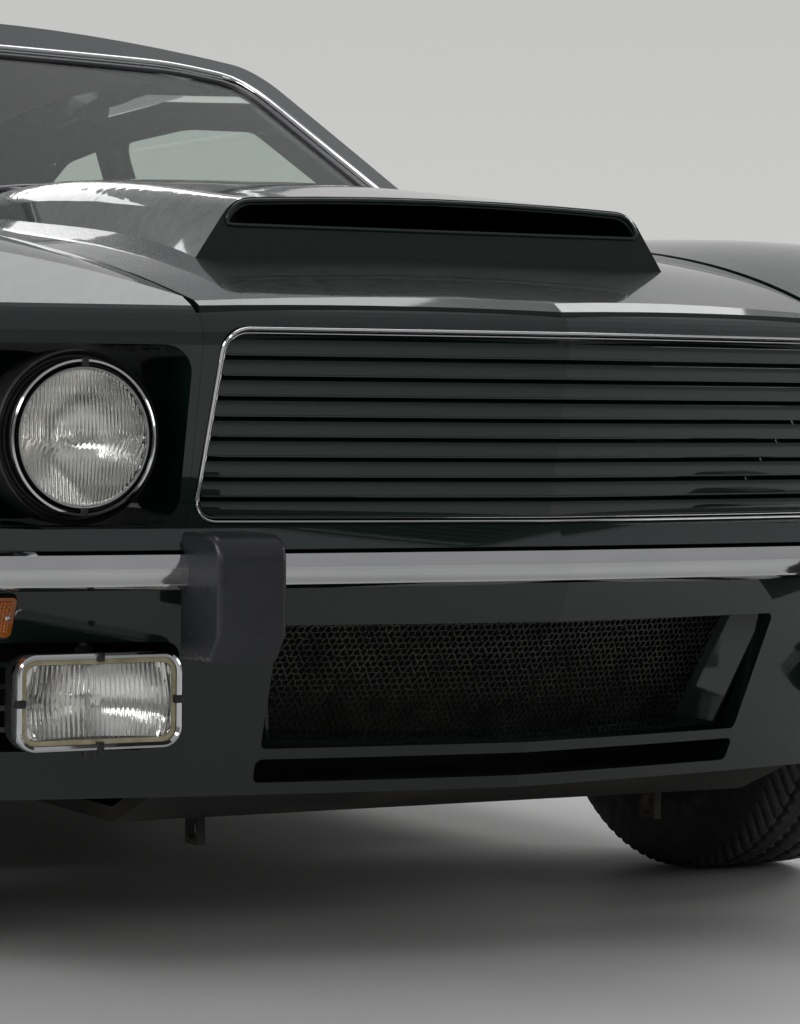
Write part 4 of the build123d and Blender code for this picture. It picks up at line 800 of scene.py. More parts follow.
def edging(node, corners, out, bend, step, view, width, height):
    """A strip round an opening, laid on a CAD node: the opening's corners in a view are moved out and
    bent to a radius, and the strip of that width and height follows them in steps."""
    place, way = view
    path, facing = onto([node], [place(p) for p in spaced(grown(corners, out), bend, step)], way)
    return strip(path, smoothed(facing), width, height)


FRONT, SIDE, PLAN = (ahead, (0, 1, 0)), (beside, (-1, 0, 0)), (over, (0, 0, -1))
back_plan = [(x, station(s)) for x, s in BACKLIGHT]
quarter_flat, door_flat = metres(QUARTER_LIGHT), metres(DOOR_LIGHT)
screen_strips = [edging("cabin_shell", SCREEN, 0.009, 0.05, 0.02, FRONT, 0.014, 0.005),
                 edging("cabin_shell", back_plan, 0.009, 0.10, 0.02, PLAN, 0.013, 0.0045)]
screen_seals = [edging("windscreen", SCREEN, -0.008, 0.04, 0.02, FRONT, 0.018, 0.006),
                edging("rear_glasses", back_plan, -0.008, 0.09, 0.02, PLAN, 0.018, 0.005)]
quarter_strip = edging("cabin_shell", quarter_flat, 0.006, 0.04, 0.015, SIDE, 0.009, 0.003)
quarter_seal = edging("rear_glasses", quarter_flat, -0.005, 0.03, 0.015, SIDE, 0.012, 0.005)
door_strip = edging("door_left", door_flat, 0.006, 0.05, 0.015, SIDE, 0.009, 0.0025)
door_seal = edging("door_glass_left", door_flat, -0.005, 0.04, 0.015, SIDE, 0.012, 0.005)
build("screen_strips", screen_strips, chrome, "chrome")
build("screen_seals", screen_seals, rubber, "rubber")
build("quarter_strips", pair([quarter_strip]), chrome, "chrome")
build("quarter_seals", pair([quarter_seal]), rubber, "rubber")
for side, turn in (("left", list), ("right", opposite)):
    build("door_strip_" + side, turn([door_strip]), chrome, "chrome", "door_" + side)
    build("door_seal_" + side, turn([door_seal]), rubber, "rubber", "door_" + side)


# Gutters: a plated rail spot-welded along the roof's edge from the foot of each screen pillar,
# over the door and the quarter glass, to carry rain back.
gutter_side = metres(((1606, 0.985), (1760, 1.060), (2045, 1.218), (2200, 1.236), (2400, 1.240),
                      (2700, 1.228),
                      (2950, 1.186), (3240, 1.094)))
gutter_spots = [beside(p) for p in spaced(gutter_side, 0.20, 0.02, False)]
gutter_path, gutter_facing = onto(["cabin_shell", "door_left"], gutter_spots, (-1, 0, 0))
gutter = strip(gutter_path, smoothed(gutter_facing, False, 8), 0.010, 0.008, loop=False)
build("gutters", pair([gutter]), chrome, "chrome")


# Lid frames: pressed steel channels spot-welded under the bonnet and the boot lid, painted with
# them. The flanges of each channel lie against the skin, which it stiffens.
def channel_under(node, ends, width=0.046, deep=0.011):
    """A pressed channel along the underside of a lid, from one plan point to another."""
    (x0, s0), (x1, s1) = ends
    spots = [(x, station(s), 0.30) for x, s in zip(np.linspace(x0, x1, 26), np.linspace(s0, s1, 26))]
    path, facing = onto([node], spots, (0, 0, 1))
    steady = np.abs(path[:, 2] - np.median(path[:, 2])) < 0.16
    path, facing = path[steady], smoothed(facing[steady], False)
    half, flange = width / 2, 0.009
    section = [(-half - flange, 0.0), (-half - flange, 0.0014), (-half, 0.0014), (-half + 0.005, deep),
               (half - 0.005, deep), (half, 0.0014), (half + flange, 0.0014), (half + flange, 0.0),
               (half + flange, -0.001), (-half - flange, -0.001)]
    return carried(path, section, up=facing)


BONNET_BEAMS = (((-0.37, 190), (0.37, 190)), ((-0.55, 1350), (0.55, 1350)), ((-0.40, 240), (-0.52, 1310)),
                ((0.40, 240), (0.52, 1310)))
BOOT_BEAMS = (((-0.50, 3870), (0.50, 3870)), ((-0.50, 4400), (0.50, 4400)), ((-0.48, 3900), (0.40, 4370)),
              ((0.48, 3900), (-0.40, 4370)))
for node, beams in (("bonnet", BONNET_BEAMS), ("boot_lid", BOOT_BEAMS)):
    build(node + "_frame", [channel_under(node, beam) for beam in beams], paint, "paint", node)


# Tyres: black radial road tyres, moulded with a ribbed shoulder, a raised bead line on the
# sidewall, four zigzag grooves round the tread and fine cuts across its blocks.
AXLE_HEIGHT, TRACK = 0.343, 0.750
FRONT_Y, REAR_Y = station(790), station(3401)
WHEELS = (("front_left", TRACK, FRONT_Y), ("front_right", -TRACK, FRONT_Y), ("rear_left", TRACK, REAR_Y),
          ("rear_right", -TRACK, REAR_Y))
half_profile = np.array([
    (0.000, 0.3428), (0.020, 0.3427), (0.040, 0.3424), (0.060, 0.3419), (0.078, 0.3412), (0.090, 0.3400),
    (0.098, 0.3378), (0.1035, 0.3345), (0.1080, 0.3290), (0.1105, 0.3215), (0.1135, 0.3110),
    (0.1155, 0.2980),
    (0.1165, 0.2860), (0.1168, 0.2740), (0.1160, 0.2620), (0.1140, 0.2500), (0.1105, 0.2390),
    (0.1055, 0.2290),
    (0.0990, 0.2215), (0.0925, 0.2165), (0.0890, 0.2130), (0.0885, 0.2040)])
run = np.concatenate([[0], np.cumsum(np.linalg.norm(np.diff(half_profile, axis=0), axis=1))])
tread_run = run[8]
fine = np.concatenate([np.linspace(0, tread_run, 38), np.linspace(tread_run, run[-1], 26)[1:]])
half_fine = np.stack([np.interp(fine, run, half_profile[:, k]) for k in range(2)], -1)
profile = np.concatenate([half_fine[::-1] * (-1, 1), half_fine[1:]])
around = np.linspace(0, 2 * pi, 540, endpoint=False)


def tread_relief(x, angle):
    """Depth in metres below the smooth tyre at a place across the tyre and an angle round it."""
    pitch = 2 * pi / 90
    wave = np.abs(((angle / pitch) % 1) * 2 - 1) * 2 - 1
    cut = np.zeros(np.broadcast(x, angle).shape)
    for middle, sway in ((-0.058, 0.0035), (-0.020, 0.0045), (0.020, -0.0045), (0.058, -0.0035)):
        away = np.abs(x - middle - sway * wave)
        cut = np.maximum(cut, 0.0065 * np.clip((0.0042 - away) / 0.0016, 0, 1))
    slot_phase = np.abs(((angle / pitch + 6.0 * np.abs(x) / 0.1) % 1) - 0.5)
    shoulder = np.clip((np.abs(x) - 0.066) / 0.004, 0, 1) * np.clip((0.1085 - np.abs(x)) / 0.004, 0, 1)
    cut = np.maximum(cut, 0.0048 * shoulder * np.clip((0.15 - slot_phase) / 0.06, 0, 1))
    sipe = np.abs(((2 * angle / pitch + 3.0 * x / 0.1) % 1) - 0.5)
    inner = np.clip((0.052 - np.abs(x)) / 0.003, 0, 1)
    return np.maximum(cut, 0.0016 * inner * np.clip((0.09 - sipe) / 0.05, 0, 1))


across, radius = profile[:, 0][:, None], profile[:, 1][:, None]
deep = tread_relief(across, around[None, :]) * np.clip((radius - 0.318) / 0.004, 0, 1)
band = 0.0011 * np.clip(1 - np.abs((radius - 0.300) / 0.0022), 0, 1) * (np.abs(across) > 0.1)
ribs = 0.0007 * np.clip(1 - np.abs((radius - 0.232) / 0.004), 0, 1) * (np.sin(around * 240)[None, :] > 0)
radial = radius - deep
outwards = np.abs(across) - 0.0006 + 0.5 * band + 0.5 * ribs
bead_across, bead_radius = np.full((2, len(around)), 0.0885) * ((1,), (-1,)), 0.2035
cosine, sine = np.cos(around), np.sin(around)
outer = np.stack([np.sign(across) * outwards, radial * cosine, radial * sine], -1)
inner = np.stack([bead_across, *(np.tile(bead_radius * k, (2, 1)) for k in (cosine, sine))], -1)
tyre_grid = np.concatenate([outer, inner])
tyre_rubber = made_of("tyre_rubber", {"Specular IOR Level": 0.35},
                      ((9, 6), (0.013, 0.013, 0.013), (0.032, 0.031, 0.030)), ((50, 5), 0.5, 0.75),
                      ((600, 3), 0.0002, 0.5))
for name, x, y in WHEELS:
    placed = surface(tyre_grid + (x, y, AXLE_HEIGHT), tube=True, loop=True)
    made = build("tyre_skin_" + name, [placed], tyre_rubber, "tyre", "wheel_" + name, 40)
    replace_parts(made, "tyre_" + name)


# Road wheels: cast alloy discs, painted silver, each held by five chromed six-sided nuts with
# domed ends round a plated cap. A black valve stem stands in the rim.
alloy = made_of("cast_alloy", {"Metallic": 0.85}, ((16, 5), (0.30, 0.30, 0.29), (0.62, 0.62, 0.62)),
                ((70, 5), 0.25, 0.45), ((240, 4), 0.0003, 0.6))
NUT_CIRCLE = 0.052
cap = np.array([(-0.010, 0.0), (-0.010, 0.031), (0.006, 0.031), (0.014, 0.027), (0.019, 0.016),
                (0.0205, 0.0)])
nut = np.array([(-0.012, 0.0), (-0.012, 0.0105), (0.006, 0.0105), (0.013, 0.0075), (0.016, 0.0)])
valve = np.array([(-0.010, 0.0), (-0.010, 0.005), (0.004, 0.0045), (0.006, 0.003), (0.028, 0.003),
                  (0.028, 0.0)])
for name, x, y in WHEELS:
    coat("wheel_" + name, alloy, "alloy")
    outward = (np.sign(x), 1)
    face = x + 0.072 * np.sign(x)
    fittings = [turned(cap * outward, (face, y, AXLE_HEIGHT), 0, 40)]
    for k in range(5):
        angle = 2 * pi * (k + 0.5) / 5
        centre = (face, y + NUT_CIRCLE * cos(angle), AXLE_HEIGHT + NUT_CIRCLE * sin(angle))
        fittings.append(turned(nut * outward, centre, 0, 6))
    build("wheel_nuts_" + name, fittings, chrome, "alloy", "wheel_" + name, 25)
    stem = turned(valve * outward, (x + 0.062 * np.sign(x), y + 0.178, AXLE_HEIGHT), 0, 16)
    build("tyre_valve_" + name, [stem], black, "alloy", "wheel_" + name, 30)


# Door furniture: a flush plated handle in a dished plate with its key lock below, a bright strip
# along the sill, and mirrors of plated brass whose glasses face back.
def side_point(node, s, z):
    """A point of the left side at a station and height, and the surface's normal there."""
    path, facing = onto([node], [beside((station(s), z))], (-1, 0, 0))
    return path[0], facing[0]


def rotated(surfaces, spot):
    """Surfaces drawn looking along +Y, turned so that their -Y points along the spot's normal."""
    origin, outward = spot
    outward = outward / np.linalg.norm(outward)
    sideways = np.cross(-outward, (0, 0, 1.0))
    sideways /= np.linalg.norm(sideways)
    turn = np.stack([sideways, -outward, np.cross(sideways, -outward)], -1)
    return [(verts @ turn.T + origin, quads, lids) for verts, quads, lids in surfaces]


def layered(rows, ring=False):
    """Rounded rectangles from (width, height, corner, y) rows, joined into a closed plate or a ring."""
    shapes = []
    for width, height, corner, y in rows:
        flat = rounded(width, height, corner)
        shapes.append(np.stack([flat[:, 0], np.full(len(flat), y), flat[:, 1]], -1))
    return surface(np.array(shapes), tube=True, loop=ring, ends=not ring)


def plate(width, height, corner, rows):
    """A closed plate from (inset, y) rows."""
    return layered([(width - 2 * inset, height - 2 * inset, max(corner - inset, 0.0005), y)
                    for inset, y in rows])


handle_spot, lock_spot = side_point("door_left", 2560, 0.852), side_point("door_left", 2610, 0.802)
escutcheon = plate(0.150, 0.042, 0.010, [(0, 0.002), (0, -0.003), (0.0015, -0.0045), (0.006, -0.004),
                                         (0.008, 0.001)])
lever = plate(0.120, 0.020, 0.006, [(0.002, 0.001), (0.001, -0.008), (0.002, -0.0125), (0.006, -0.014)])
thumb = moved([plate(0.024, 0.024, 0.012, [(0, 0.001), (0, -0.005), (0.002, -0.0065)])], (-0.047, -0.004, 0))
lock = turned([(0.002, 0.0), (0.002, 0.013), (-0.003, 0.013), (-0.0045, 0.011), (-0.0035, 0.008),
               (-0.0035, 0.0)],
              (0, 0, 0), steps=32)
furniture = rotated([escutcheon, lever, *thumb], handle_spot) + rotated([lock], lock_spot)
lock_slot = rotated([bar((-0.0008, -0.0042, -0.005), (0.0008, -0.003, 0.005), 0.0003)], lock_spot)
MIRROR = (0.872, station(1690) + 0.0326, 0.986)
mirror_face = plate(0.098, 0.052, 0.012, [(0.003, -0.002), (0, 0.0), (0, 0.0010), (0.003, 0.0016)])
mirror_glass = moved([mirror_face], MIRROR)
mirror_bezel = moved([layered([(0.104, 0.058, 0.015, -0.006), (0.106, 0.060, 0.016, -0.002),
                               (0.103, 0.057, 0.015, 0.0022), (0.096, 0.050, 0.011, 0.0022),
                               (0.096, 0.050, 0.011, -0.004)], ring=True)], MIRROR)
mirror_silver = made_of("mirror_glass", {"Metallic": 1.0, "Base Color": (0.88, 0.9, 0.9, 1)},
                        rough=((20, 5), 0.01, 0.05))
sill_spots = [beside(p) for p in spaced(metres(((1560, 0.250), (2650, 0.250))), 0.1, 0.03, False)]
sill_path, sill_facing = onto(["door_left"], sill_spots, (-1, 0, 0))
sill_strip = [strip(sill_path, smoothed(sill_facing, False), 0.020, 0.003, loop=False)]
for side, turn in (("left", list), ("right", opposite)):
    for name, shapes, mat, slot in (("door_handle_", furniture, chrome, "chrome"),
                                    ("door_lock_slot_", lock_slot, black, "black_metal"),
                                    ("mirror_glass_", mirror_glass, mirror_silver, "chrome"),
                                    ("mirror_bezel_", mirror_bezel, chrome, "chrome"),
                                    ("door_sill_strip_", sill_strip, chrome, "chrome")):
        build(name + side, turn(shapes), mat, slot, "door_" + side)
    coat("door_mirror_" + side, plated("mirror_plate_" + side, 0.80), "chrome")


# Wing vents: a pressed outlet behind each front wheel, black inside, with three thin plated
# bars across it held by a narrow frame.
vent_spot = side_point("wing_left", 1395, 0.735)
vent_frame = layered([(0.190, 0.066, 0.014, 0.001), (0.190, 0.066, 0.014, -0.0035),
                      (0.184, 0.060, 0.012, -0.0045),
                      (0.180, 0.056, 0.010, -0.0015), (0.180, 0.056, 0.010, 0.001)], ring=True)
vent_dark = plate(0.182, 0.058, 0.011, [(0, 0.001), (0, -0.0008)])
vent_bars = [bar((-0.088, -0.0042, z - 0.0018), (0.088, -0.0004, z + 0.0018), 0.0008)
             for z in (-0.014, 0, 0.014)]
build("wing_vent_frames", pair(rotated([vent_frame] + vent_bars, vent_spot)), chrome, "chrome")
build("wing_vent_ducts", pair(rotated([vent_dark], vent_spot)), black, "black_metal")


# Wipers: two stainless arms parked across the foot of the screen, each with a sprung blade
# carrier and a black rubber squeegee, pivoting on a steel spindle in the cowl.
def rod(points, radius, steps=10):
    """A round rod along points."""
    return carried(np.array(points, float), strand(2 * radius, 2 * radius, steps))


def curved(a, b, c, d, count):
    """Points along a smooth curve from a to d, drawn towards b and c on its way."""
    t = np.linspace(0, 1, count)[:, None]
    a, b, c, d = (np.array(p, float) for p in (a, b, c, d))
    return (1 - t) ** 3 * a + 3 * t * (1 - t) ** 2 * b + 3 * t * t * (1 - t) * c + t**3 * d


wiper_metal, wiper_rubber = [], []
squeegee = [(-0.001, -0.005), (0.001, -0.005), (0.0035, 0.004), (-0.0035, 0.004)]
cap = [(-0.010, 0.0), (-0.010, 0.013), (0.010, 0.013), (0.016, 0.010), (0.022, 0.0)]
for x in (-0.30, 0.18):
    spindle = onto(["cabin_shell"], [over((x, station(1440)))], (0, 0, -1))[0][0]
    spots = [ahead(p) for p in zip(np.linspace(x + 0.02, x + 0.42, 24), np.linspace(0.987, 0.993, 24))]
    path, facing = onto(["windscreen", "cabin_shell"], spots, (0, 1, 0))
    facing = smoothed(facing, False)
    wiper_rubber.append(carried(path + facing * 0.0055, squeegee, up=facing))
    joint = path[12] + facing[12] * 0.020
    arm = curved(spindle + (0, 0, 0.014), spindle + (0.05, 0.004, 0.018), path[8] + facing[8] * 0.022,
                 joint, 25)
    wiper_metal += [turned(cap, spindle, 2, 28),
                    carried(path + facing * 0.0135, rounded(0.007, 0.005, 0.0015, 3), up=facing),
                    carried(arm, rounded(0.009, 0.004, 0.0015, 3)),
                    rod([joint + facing[12] * 0.002, joint - facing[12] * 0.008], 0.004)]
steel = made_of("brushed_stainless", {"Metallic": 1.0},
                ((30, 4, (1, 12, 12)), (0.32, 0.32, 0.33), (0.5, 0.5, 0.51)), ((60, 4), 0.25, 0.4))
build("wiper_arms", wiper_metal, steel, "steel")
build("wiper_rubbers", wiper_rubber, rubber, "rubber")


# Tail lamps: each has three moulded lenses side by side, red, clear and amber, with shallow level
# ribs, set in a thin plated frame on the rear panel.
def edged(front, back):
    """A sheet's border joined to the same border of another sheet behind it."""
    borders = [np.concatenate([g[0], g[1:, -1], g[-1, -2::-1], g[-2:0:-1, 0]]) for g in (front, back)]
    return surface(np.stack(borders), tube=True)


def tail_lens(x0, x1):
    """One lens between two places across, 4 mm proud of the lamp's face, with shallow level ribs
    and a fine moulding across them."""
    middle, low, high = (x0 + x1) / 2, 0.6455, 0.7565
    across, _ = onto(["tail_lamps"], [(x, 2.6, 0.70) for x in (x0, middle, x1)], (0, -1, 0))
    upward, _ = onto(["tail_lamps"], [(middle, 2.6, z) for z in (low, 0.70, high)], (0, -1, 0))
    x, z = np.meshgrid(np.linspace(x0, x1, max(int((x1 - x0) / 0.0016), 8)), np.linspace(low, high, 60))
    y = np.interp(x, across[:, 0], across[:, 1]) + np.interp(z, upward[:, 2], upward[:, 1]) - upward[1, 1]
    y += 0.004 + 0.0010 * np.abs(np.sin(pi * z / 0.0125)) + 0.0006 * np.abs(np.sin(pi * x / 0.005))
    front = np.stack([x, y, z], -1)
    return [surface(front), edged(front, front - (0, 0.006, 0))]


red = made_of("red_lens", {"Coat Weight": 0.6, "Transmission Weight": 0.2, "IOR": 1.49, "Roughness": 0.12},
              ((40, 4), (0.16, 0.004, 0.004), (0.34, 0.010, 0.008)))
pale = made_of("clear_lens", {"Coat Weight": 0.6, "Roughness": 0.15},
               ((40, 4), (0.55, 0.55, 0.54), (0.74, 0.74, 0.72)))
coat("tail_lamps", red, "red")
for colour, x0, x1, mat, slot in (("red", 0.434, 0.540, red, "red"), ("clear", 0.544, 0.580, pale, "lamp"),
                                  ("amber", 0.584, 0.694, amber, "amber")):
    build("tail_lenses_" + colour, pair(tail_lens(x0, x1)), mat, slot, sharp=20)
tail_corners = ((0.4325, 0.6425), (0.6975, 0.6425), (0.6975, 0.7595), (0.4325, 0.7595))
tail_path, tail_facing = onto(["tail_lamps"], [(x, 2.6, z) for x, z in spaced(tail_corners, 0.011, 0.012)],
                              (0, -1, 0))
build("tail_lamp_frames", pair([strip(tail_path, smoothed(tail_facing), 0.007, 0.006)]), chrome, "chrome")


# Boot lid fittings: a plated pull rail and a key lock, both cast and screwed from inside near the
# lid's rear edge.
pull_path, pull_facing = onto(["boot_lid"], [over((x, 2.15)) for x in np.linspace(-0.16, 0.16, 17)],
                              (0, 0, -1))
pull = strip(pull_path, smoothed(pull_facing, False), 0.012, 0.011, loop=False)
boot_lock = turned([(-0.004, 0.0), (-0.004, 0.012), (0.003, 0.012), (0.0045, 0.009), (0.0035, 0.0)],
                   onto(["boot_lid"], [over((0, 2.20))], (0, 0, -1))[0][0], 2, 28)
build("boot_pull", [pull, boot_lock], chrome, "chrome", "boot_lid")


# Seats: foam pads on steel frames under tan hide, sewn in flutes down the middle panel, with
# plain bolsters, corded seams and a headrest; the rear bench is two scooped places in one.
def pad(size, flutes, crown=0.012, slack=0.010, channel=0.007):
    """A stuffed pad about its centre. Columns of size: width, length, thickness. Flutes give the middle
    panel's half width and pitch; crown lifts its top, slack draws its sides in between the corners."""
    wide, long, thick = [k / 2 for k in size]
    panel, pitch = flutes
    u = np.concatenate([np.linspace(-1, -0.86, 9), np.linspace(-0.86, 0.86, 150)[1:-1],
                        np.linspace(0.86, 1, 9)])
    angle = np.linspace(0, 2 * pi, 96, endpoint=False)
    corner = 0.030
    x = u * wide
    inset = np.clip(np.abs(x) - (wide - corner), 0, corner)
    drop = corner - np.sqrt(np.clip(corner**2 - inset**2, 0, None))
    c, s = np.cos(angle), np.sin(angle)
    y = np.sign(c) * np.abs(c) ** 0.36
    z = np.sign(s) * np.abs(s) ** 0.42
    half_long = long - drop - slack * 0.6 * (1 - u**2)
    grid_y = y[None, :] * half_long[:, None]
    half_thick = thick - drop
    top = np.clip(z, 0, 1)[None, :]
    grid_z = z[None, :] * half_thick[:, None] + crown * top * (1 - u[:, None] ** 2) * (1 - (y**2)[None, :])
    spread_x = x[:, None] * (1 - 0.02 * (1 - np.abs(z)[None, :]) * np.abs(u)[:, None])
    seam = np.minimum(np.abs((np.abs(x) % pitch)), pitch - np.abs(x) % pitch)
    inner = (np.abs(x) < panel + pitch / 3)
    furrow = channel * np.exp(-(seam / 0.0045) ** 2) * inner
    reach = np.clip((long - 0.045 - np.abs(grid_y)) / 0.02, 0, 1)
    upper = np.clip((grid_z - 0.35 * thick) / (0.3 * thick), 0, 1)
    grid_z = grid_z - furrow[:, None] * reach * upper
    cross = channel * np.exp(-((np.abs(grid_y) - (long - 0.045)) / 0.0045) ** 2)
    grid_z = grid_z - cross * (np.abs(x) < panel)[:, None] * upper
    wrinkle = 0.0012 * np.sin(grid_y * 95 + 3 * np.sin(x[:, None] * 17))
    wrinkle *= np.clip(np.abs(u)[:, None] - 0.6, 0, 1)
    grid = np.stack([spread_x, grid_y, grid_z + wrinkle * upper], -1)
    return surface(grid, tube=True, ends=True)


def cord_round(size, height):
    """A corded seam round a pad at a height."""
    flat = divided(rounded(size[0] - 0.014, size[1] - 0.014, 0.034, 8), 10)
    path = np.stack([flat[:, 0], flat[:, 1], np.full(len(flat), height)], -1)
    return carried(path, strand(0.006, 0.006, 8), loop=True)


def laid(surfaces, tilt, place):
    """Surfaces tilted about the cross axis, their far end up, then placed."""
    c, s = cos(radians(tilt)), sin(radians(tilt))
    turn = np.array([(1, 0, 0), (0, c, s), (0, -s, c)])
    return [(verts @ turn + np.array(place), quads, lids) for verts, quads, lids in surfaces]


hide = made_of("tan_hide", {"Specular IOR Level": 0.4, "Sheen Weight": 0.15},
               ((5, 5), (0.235, 0.140, 0.076), (0.285, 0.175, 0.097)), ((25, 5), 0.38, 0.58),
               (420.0, 0.0005, 0.45))


def stuffed(name, surfaces):
    """A padded piece under hide."""
    build(name, surfaces, hide, "leather", sharp=50)


FRONT_CUSHION, FRONT_BACK, REST = (0.470, 0.460, 0.130), (0.450, 0.540, 0.105), (0.260, 0.120, 0.080)
for side, x in (("left", 0.385), ("right", -0.385)):
    seat_at = (x, station(2175), 0.345)
    stuffed("front_cushion_" + side, laid([pad(FRONT_CUSHION, (0.150, 0.060))], -5, seat_at))
    stuffed("front_backrest_" + side,
            laid([pad(FRONT_BACK, (0.120, 0.060))], -72, (x, station(2440), 0.610)))
    stuffed("front_headrest_" + side,
            laid([pad(REST, (0.0, 0.5), 0.006, 0.006, 0.0)], -72, (x, station(2528), 0.925)))
    build("front_cord_" + side, laid([cord_round(FRONT_CUSHION, 0.046)], -5, seat_at), hide, "leather",
          sharp=60)
    base = [bar((x - 0.205, station(1985), 0.2525), (x + 0.205, station(2370), 0.285), 0.012)]
    for rail in (x - 0.180, x + 0.180):
        base.append(bar((rail - 0.014, station(2002), 0.2170), (rail + 0.014, station(2398), 0.2524), 0.003))
    posts = [rod([(post, station(2512), 0.842), (post, station(2526), 0.905)], 0.006)
             for post in (x - 0.055, x + 0.055)]
    build("front_seat_frame_" + side, base, black, "leather")
    build("headrest_posts_" + side, posts, chrome, "leather")
REAR_CUSHION, REAR_BACK = (0.520, 0.440, 0.130), (0.520, 0.480, 0.100)
for side, x in (("left", 0.30), ("right", -0.30)):
    stuffed("rear_cushion_" + side,
            laid([pad(REAR_CUSHION, (0.160, 0.060), 0.0, 0.012)], -9, (x, station(2930), 0.350)))
    stuffed("rear_backrest_" + side,
            laid([pad(REAR_BACK, (0.160, 0.060), 0.004)], -76, (x, station(3095), 0.620)))
bench = bar((0.135, station(2760), 0.2170), (0.555, station(3180), 0.300), 0.012)
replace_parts(build("rear_seat_base", pair([bench]), hide, "leather"), "seats")


# Dashboard: a padded black vinyl shell with a wood fascia, seven round dials in plated bezels,
# a row of switches, two vents and a glove box lid. The steering wheel has a hide rim and a steel boss.
vinyl = made_of("black_vinyl", {"Specular IOR Level": 0.4},
                ((6, 5), (0.012, 0.012, 0.012), (0.024, 0.023, 0.022)), ((40, 4), 0.45, 0.62),
                (700.0, 0.0004, 0.5))
coat("dashboard", vinyl, "trim")
coat("steering_wheel", vinyl, "trim")
wood = made_of("burr_wood", {"Coat Weight": 0.8, "Coat Roughness": 0.08},
               ((10, 8, (1, 2, 9)), (0.10, 0.035, 0.012), (0.30, 0.135, 0.05), 0.35, 0.65),
               ((30, 4), 0.25, 0.4))
dial_face = made_of("dial_faces", {"Roughness": 0.5}, ((150, 2), (0.01, 0.01, 0.01), (0.02, 0.02, 0.02)),
                    ((60, 4), 0.4, 0.6))
white = made_of("dial_marks", {"Roughness": 0.5}, ((60, 3), (0.62, 0.62, 0.58), (0.74, 0.74, 0.70)))
FASCIA_Y = station(1700)
fascia = bar((-0.60, FASCIA_Y - 0.004, 0.665), (0.60, FASCIA_Y + 0.005, 0.845), 0.003)
build("fascia", [fascia], wood, "trim")
bezels, faces, marks = [], [], []
DIALS = ((-0.455, 0.775, 0.047), (-0.315, 0.775, 0.047), (-0.545, 0.745, 0.026),
         (-0.205, 0.775, 0.028), (-0.125, 0.775, 0.028), (-0.045, 0.775, 0.028), (0.035, 0.775, 0.028))
for x, z, size in DIALS:
    centre = np.array((x, FASCIA_Y + 0.005, z))
    bezel = [(-0.002, size), (0.006, size + 0.001), (0.010, size - 0.001), (0.009, size - 0.004),
             (-0.002, size - 0.004)]
    bezels.append(turned(bezel, centre, 1, 48, True))
    faces.append(turned([(-0.001, 0.0), (-0.001, size - 0.003), (0.002, size - 0.003), (0.002, 0.0)],
                        centre, 1, 40))
    strokes = [(225 - 27 * k, 0.70, 0.88, 0.0028) for k in range(11)] + [(200, 0.0, 0.75, 0.004)]
    for turn, near, far, out in strokes:
        way = size * np.array((-cos(radians(turn)), 0, sin(radians(turn))))
        marks.append(rod([centre + near * way + (0, out, 0), centre + far * way + (0, out, 0)], 0.0008, 5))
build("dial_bezels", bezels, chrome, "trim")
build("dial_faces", faces, dial_face, "trim")
build("dial_marks", marks, white, "trim")
switches = [bar((x - 0.007, FASCIA_Y + 0.004, 0.690), (x + 0.007, FASCIA_Y + 0.016, 0.712), 0.002)
            for x in np.arange(-0.22, 0.23, 0.04)]
vents = [bar((x + k - 0.002, FASCIA_Y + 0.003, z), (x + k + 0.002, FASCIA_Y + 0.009, z + 0.05), 0.0008)
         for x, z in ((0.16, 0.750), (0.55, 0.750)) for k in np.arange(-0.036, 0.037, 0.012)]
glove = bar((0.235, FASCIA_Y + 0.004, 0.690), (0.480, FASCIA_Y + 0.009, 0.820), 0.003)
build("dash_switches", switches + vents, black, "trim")
build("glove_lid", [glove], wood, "trim")
RIM_RADIUS, tilt = 0.185, radians(-68)
hub = np.array((-0.385, station(1850), 0.760))
angle = np.linspace(0, 2 * pi, 96, endpoint=False)
circle = np.stack([np.cos(angle), np.sin(angle) * cos(tilt), np.sin(angle) * sin(tilt)], -1)
normal = np.array((0, -sin(tilt), cos(tilt)))
rim = carried(RIM_RADIUS * circle + hub, strand(0.029, 0.027, 14), loop=True, up=normal)
build("wheel_rim_leather", [rim], hide, "trim")
boss = turned([(0.004, 0.0), (0.004, 0.030), (-0.010, 0.034), (-0.020, 0.028), (-0.024, 0.0)], (0, 0, 0),
              steps=40)
build("wheel_boss", rotated([boss], (hub + 0.020 * normal, normal)), steel, "trim")


# Cabin lining: a pale headlining over the roof's inside, dark carpets on the floor and tunnel,
# fluted hide door cards with armrests and plated winders, and a gear lever in a hide gaiter.
def lined(node, us, vs, start, way, off):
    """A sheet 1.5 mm thick held a little off the inside of a CAD panel: rays go from start(u, v)."""
    hits = [onto([node], [start(u, v) for u in us], way)[0] for v in vs]
    grid = np.array(hits) - np.array(way, float) * off
    back = grid - np.array(way, float) * 0.0015
    return [surface(grid), surface(back), edged(grid, back)]


cloth = made_of("headlining_cloth", {"Roughness": 0.85, "Specular IOR Level": 0.2},
                ((4, 5), (0.34, 0.31, 0.26), (0.44, 0.41, 0.35)), None, (900.0, 0.0004, 0.4))
carpet = made_of("cut_pile_carpet", {"Roughness": 0.95, "Specular IOR Level": 0.1, "Sheen Weight": 0.3},
                 ((500, 2), (0.010, 0.016, 0.014), (0.030, 0.040, 0.036)), None, ((900, 2), 0.0020, 0.8))
roof_lining = lined("cabin_shell", np.linspace(-0.44, 0.44, 34),
                    np.linspace(station(2160), station(2900), 40),
                    lambda x, y: (x, y, 0.95), (0, 0, 1), 0.003)
build("headlining", roof_lining, cloth, "trim", sharp=40)
side_carpet, tunnel_carpet = (
    lined("floor_pan", xs, np.linspace(station(1400), station(2990), 40), lambda x, y: (x, y, 0.9),
          (0, 0, -1), 0.004)
    for xs in (np.linspace(0.150, 0.600, 16), np.linspace(-0.120, 0.120, 9)))
